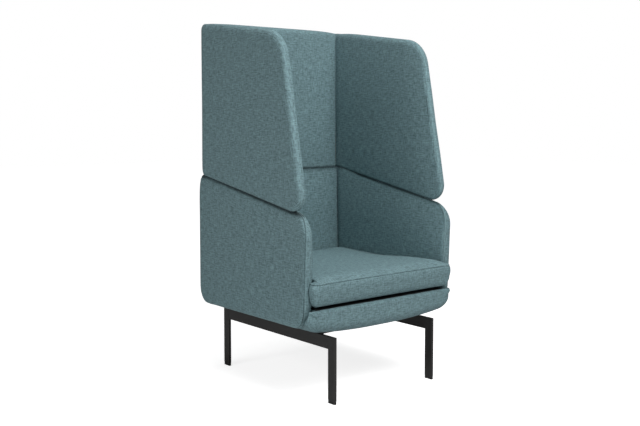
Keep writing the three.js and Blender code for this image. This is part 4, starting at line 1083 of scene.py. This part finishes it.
def cloth_material(name):
    """A wool-like plain weave in two mixed tones, with soft streaks along its threads. Its colour
    carries painted shade in seams and creases, a painted highlight where it faces the camera and
    painted shade at its silhouettes.
    """
    material, tree, shader = new_material(name)
    cloth = add(tree, "ShaderNodeUVMap", uv_map="cloth").outputs["UV"]
    fine, coarse = STREAKS
    weft = noise_of(tree, scaled(tree, cloth, (fine, coarse, 1)), 1.0, 3.0, 0.7)
    warp = noise_of(tree, scaled(tree, cloth, (coarse, fine, 1)), 1.0, 3.0, 0.7)
    cloud = noise_of(tree, cloth, 26.0, 3.0, 0.55)
    speck = noise_of(tree, cloth, 900.0, 1.0)
    mixed = maths(tree, "MULTIPLY", weft, 0.46)
    for part, weight in ((warp, 0.36), (cloud, 0.05), (speck, 0.13)):
        mixed = maths(tree, "ADD", mixed, maths(tree, "MULTIPLY", part, weight))
    colour = ramp_of(tree, mixed, [
        (place, tuple(part * (1 + shift * CLOTH_SPREAD) for part in CLOTH_TONE))
        for place, shift in CLOTH_STOPS
    ])
    # Painted shade in seams, corners and creases darkens the cloth's colour
    painted_shade = add(tree, "ShaderNodeAttribute", attribute_name="painted_shade").outputs["Fac"]
    # A painted highlight where the cloth faces the camera, painted shade at its silhouettes
    facing = add(tree, "ShaderNodeLayerWeight", {"Blend": 0.5}).outputs["Facing"]
    most = FACING_PAINTED_LIGHT[0][1]
    facing_light = ramp_of(tree, facing, [(place, (value / most,) * 3) for place, value in FACING_PAINTED_LIGHT])
    facing_light = maths(tree, "MULTIPLY", facing_light, most)
    light = maths(tree, "MULTIPLY", mapped(tree, painted_shade, 1.0, FULL_PAINTED_SHADE), facing_light)
    shaded = add(tree, "ShaderNodeVectorMath", {0: colour, 3: light}, operation="SCALE").outputs["Vector"]
    connect(tree, shader, {
        "Base Color": shaded, "Roughness": 0.92, "Specular IOR Level": 0.12,
        "Sheen Weight": 0.15, "Sheen Roughness": 0.45, "Sheen Tint": (0.72, 0.9, 0.94, 1),
    })
    threads = bumped(tree, shader, weave(tree, cloth, WEAVE_PITCH), 0.35, 0.0004)
    bumped(tree, shader, mixed, 0.5, 0.0016, threads)
    return material


def surface(name, start, colours, scale, roughness, depth, strength=0.4, stretch=(1, 1, 1), detail=4.0,
            mix=0.6, metallic=0.0, sheen=0.0, peel=None):
    """A solid material. Its colours, the first at `start`, its roughness and its bump follow one
    stretched noise, or the bump a finer noise of the scale `peel`."""
    material, tree, shader = new_material(name)
    place = object_space(tree)
    grain = noise_of(tree, scaled(tree, place, stretch), scale, detail, mix)
    connect(tree, shader, {
        "Base Color": ramp_of(tree, grain, zip(np.linspace(start, 1 - start, len(colours)), colours)),
        "Roughness": mapped(tree, grain, *roughness), "Metallic": metallic, "Sheen Weight": sheen,
    })
    bumped(tree, shader, noise_of(tree, place, peel) if peel else grain, strength, depth)
    return material


def build_materials():
    return {
        "outer_fabric": cloth_material("melange_cloth_outer"),
        "cushion_fabric": cloth_material("melange_cloth_cushion"),
        "thread": surface("petrol_thread", 0.3, ((0.168, 0.259, 0.273), (0.3, 0.4625, 0.4875)),
                          900.0, (0.7, 0.7), 0.0003, 0.3, detail=2.0, mix=0.5, sheen=0.2),
        "frame_steel": surface("powder_coat", 0.3, ((0.0095, 0.0092, 0.0086), (0.0145, 0.014, 0.0132)),
                               14.0, (0.34, 0.5), 0.0003, 0.25, peel=900.0),
        "glides": surface("black_nylon", 0.3, ((0.012, 0.012, 0.012), (0.02, 0.02, 0.02)),
                          500.0, (0.5, 0.65), 0.0002),
        "fasteners": surface("zinc_screws", 0.3, ((0.42, 0.43, 0.45), (0.6, 0.6, 0.61)),
                             300.0, (0.25, 0.45), 0.0001, metallic=0.9),
        "tongues": surface("zinc_plate", 0.3, ((0.4, 0.41, 0.43), (0.58, 0.58, 0.6)),
                           120.0, (0.3, 0.5), 0.0002, stretch=(1, 1, 6), metallic=0.9),
        "plywood": surface("moulded_plywood", 0.25, (
            (0.36, 0.22, 0.11), (0.52, 0.35, 0.19), (0.62, 0.45, 0.27)),
            22.0, (0.55, 0.75), 0.0005, stretch=(1, 1, 14)),
        "stained_plywood": surface("stained_plywood", 0.25, (
            (0.012, 0.011, 0.010), (0.02, 0.018, 0.016), (0.03, 0.027, 0.024)),
            22.0, (0.6, 0.8), 0.0004, stretch=(1, 1, 14)),
        "timber": surface("sawn_timber", 0.25, (
            (0.42, 0.27, 0.14), (0.6, 0.43, 0.25), (0.7, 0.54, 0.34)),
            14.0, (0.6, 0.85), 0.0006, stretch=(3, 3, 18)),
        "foam": surface("open_foam", 0.35, ((0.5, 0.45, 0.33), (0.76, 0.71, 0.58)),
                        420.0, (0.85, 1.0), 0.0012, detail=2.0),
        "lining": surface("lining_cloth", 0.35, ((0.008, 0.009, 0.01), (0.022, 0.023, 0.025)),
                          700.0, (0.85, 1.0), 0.0004, detail=1.0),
    }


def dress(piece, material):
    piece.data.materials.clear()
    piece.data.materials.append(material)


def dress_nodes(materials):
    """Gives each CAD node that stays in view, or inside, its slot's material."""
    slots = {part["node"]: part["material_slot"] for part in frame["record"]["subparts"]}
    for name, node in frame["nodes"].items():
        slot = "stained_plywood" if name == "seat_deck" else slots[name]
        for place in node.material_slots:
            place.material = materials.get(slot, materials["outer_fabric"])


# Stage, light and camera

# The camera as solved from the leg frames in the photo
CAMERA_PLACE = (-2.27111, -2.71989, 1.00298)
CAMERA_DIP, CAMERA_TURN = 0.06633, -0.69185
CAMERA_LENS, CAMERA_SHIFT = 51.722, -0.059

# The floor's glow to the camera, near the chair and far from it, and where it changes
FLOOR_REACH = 14.0
FLOOR_LIFT = (0.81, 1.0)
FLOOR_LIFT_FROM, FLOOR_LIFT_TO = 1.6, 4.0
AMBIENT = 0.03

# Each lamp's place, target, size and power
LAMPS = {
    "upper_soft_box": ((-0.3, -2.6, 3.2), (0, 0, 0.9), (2.4, 2.0), 40),
    "top_soft_box": ((0.2, -0.6, 4.0), (0, -0.1, 0.4), (3.0, 3.0), 60),
    "near_front_lamp": ((0.1, -1.7, 2.2), (0, -0.1, 0.8), (1.0, 0.8), 17),
    "low_left_lamp": ((-3.4, -2.6, 0.9), (0.2, -0.1, 0.6), (1.6, 1.2), 9),
    "left_soft_box": ((-4.2, -0.6, 2.0), (0, 0, 0.7), (2.6, 2.2), 42),
}


def make_floor():
    """A floor that the camera sees nearly white, with the chair's soft shadow on it."""
    mesh = bpy.data.meshes.new("studio_floor")
    corners = [(x * FLOOR_REACH, y * FLOOR_REACH, 0) for x, y in ((-1, -1), (1, -1), (1, 1), (-1, 1))]
    mesh.from_pydata(corners, [], [(0, 1, 2, 3)])
    floor = placed("studio_floor", mesh)
    material, tree, shader = new_material("studio_floor")
    seen = add(tree, "ShaderNodeLightPath").outputs["Is Camera Ray"]
    away = add(tree, "ShaderNodeVectorMath", {0: object_space(tree)}, operation="LENGTH").outputs["Value"]
    lift = mapped(tree, away, *FLOOR_LIFT, FLOOR_LIFT_FROM, FLOOR_LIFT_TO)
    connect(tree, shader, {
        "Base Color": (0.9, 0.9, 0.9, 1), "Roughness": 1.0, "Specular IOR Level": 0.0,
        "Emission Color": (1, 1, 1, 1), "Emission Strength": maths(tree, "MULTIPLY", seen, lift),
    })
    dress(floor, material)


def make_world():
    world = bpy.data.worlds.new("studio")
    bpy.context.scene.world = world
    world.use_nodes = True
    tree = world.node_tree
    seen = add(tree, "ShaderNodeLightPath").outputs["Is Camera Ray"]
    strength = mapped(tree, seen, AMBIENT, 1.0)
    connect(tree, tree.nodes["Background"], {"Color": (1, 1, 1, 1), "Strength": strength})


def add_lamp(name, place, target, size, power):
    data = bpy.data.lights.new(name, "AREA")
    data.shape, data.energy = "RECTANGLE", power
    data.size, data.size_y = size
    lamp = placed(name, data)
    lamp.location = place
    lamp.rotation_euler = (Vector(target) - Vector(place)).to_track_quat("-Z", "Y").to_euler()


def make_camera():
    data = bpy.data.cameras.new("photo_camera")
    data.sensor_width = 36.0
    data.lens = CAMERA_LENS
    data.shift_y = CAMERA_SHIFT
    data.clip_end = 60.0
    camera = placed("photo_camera", data)
    camera.location = CAMERA_PLACE
    camera.rotation_euler = (math.pi / 2 - CAMERA_DIP, 0, CAMERA_TURN)
    bpy.context.scene.camera = camera


# The whole chair

def fit_out(piece, material, body):
    """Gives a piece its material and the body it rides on."""
    dress(piece, material)
    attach(piece, body)


def cover_pieces(materials):
    screen = make_screen()
    shell, shell_slab, shell_points = make_shell()
    front, platform = make_base_front(), make_base_platform()
    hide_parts("seat_base_cover")
    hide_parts("seat_base_cover")
    cushion, slab, points = make_cushion()
    foam = make_cushion_foam(slab, points)
    for piece, body, slot, fill in (
        (screen, "chair", "outer_fabric", 0.9), (shell, "chair", "outer_fabric", 0.9),
        (front, "chair", "outer_fabric", 0.9), (platform, "chair", "outer_fabric", 0.8),
        (cushion, "seat_cushion", "cushion_fabric", 0.85), (foam, "seat_cushion", "foam", 1.0),
    ):
        fit_out(piece, materials[slot], body)
    for row in arm_stitches(shell, shell_slab, shell_points):
        fit_out(row, materials["thread"], "chair")
    # Black cloth on the base's top, which paints the shade in the gap under the cushion
    line_deck_as_gap_shade(front, materials["lining"], BASE_NOSE_Y + 17)
    line_deck_as_gap_shade(platform, materials["lining"], BASE_NOSE_REAR_Y - 20)
    fit_out(make_cushion_lining(slab, points), materials["lining"], "seat_cushion")
    row = cushion_stitches(cushion, slab, points)
    fit_out(row, materials["thread"], "seat_cushion")


def line_deck_as_gap_shade(piece, material, front_y):
    """Black lining cloth on the base's top, behind its front roll and under the cushion; it also paints
    the shade in the gap below the cushion's front.
    """
    mesh = piece.data
    mesh.materials.append(material)
    for face in mesh.polygons:
        if face.normal.z > 0.85 and face.center.y > front_y * MM and face.center.z > (BASE_Z[1] - 12) * MM:
            face.material_index = 1


def frame_pieces(materials):
    for side in ("left", "right"):
        for node in (f"{side}_rail", f"front_{side}_leg", f"rear_{side}_leg"):
            fit_out(softened_copy(f"{node}_bar", node), materials["frame_steel"], "chair")


materials = build_materials()
make_camera()
dress_nodes(materials)
cover_pieces(materials)
frame_pieces(materials)
make_floor()
make_world()
for name, settings in LAMPS.items():
    add_lamp(name, *settings)
bpy.context.scene.view_settings.view_transform = "Standard"
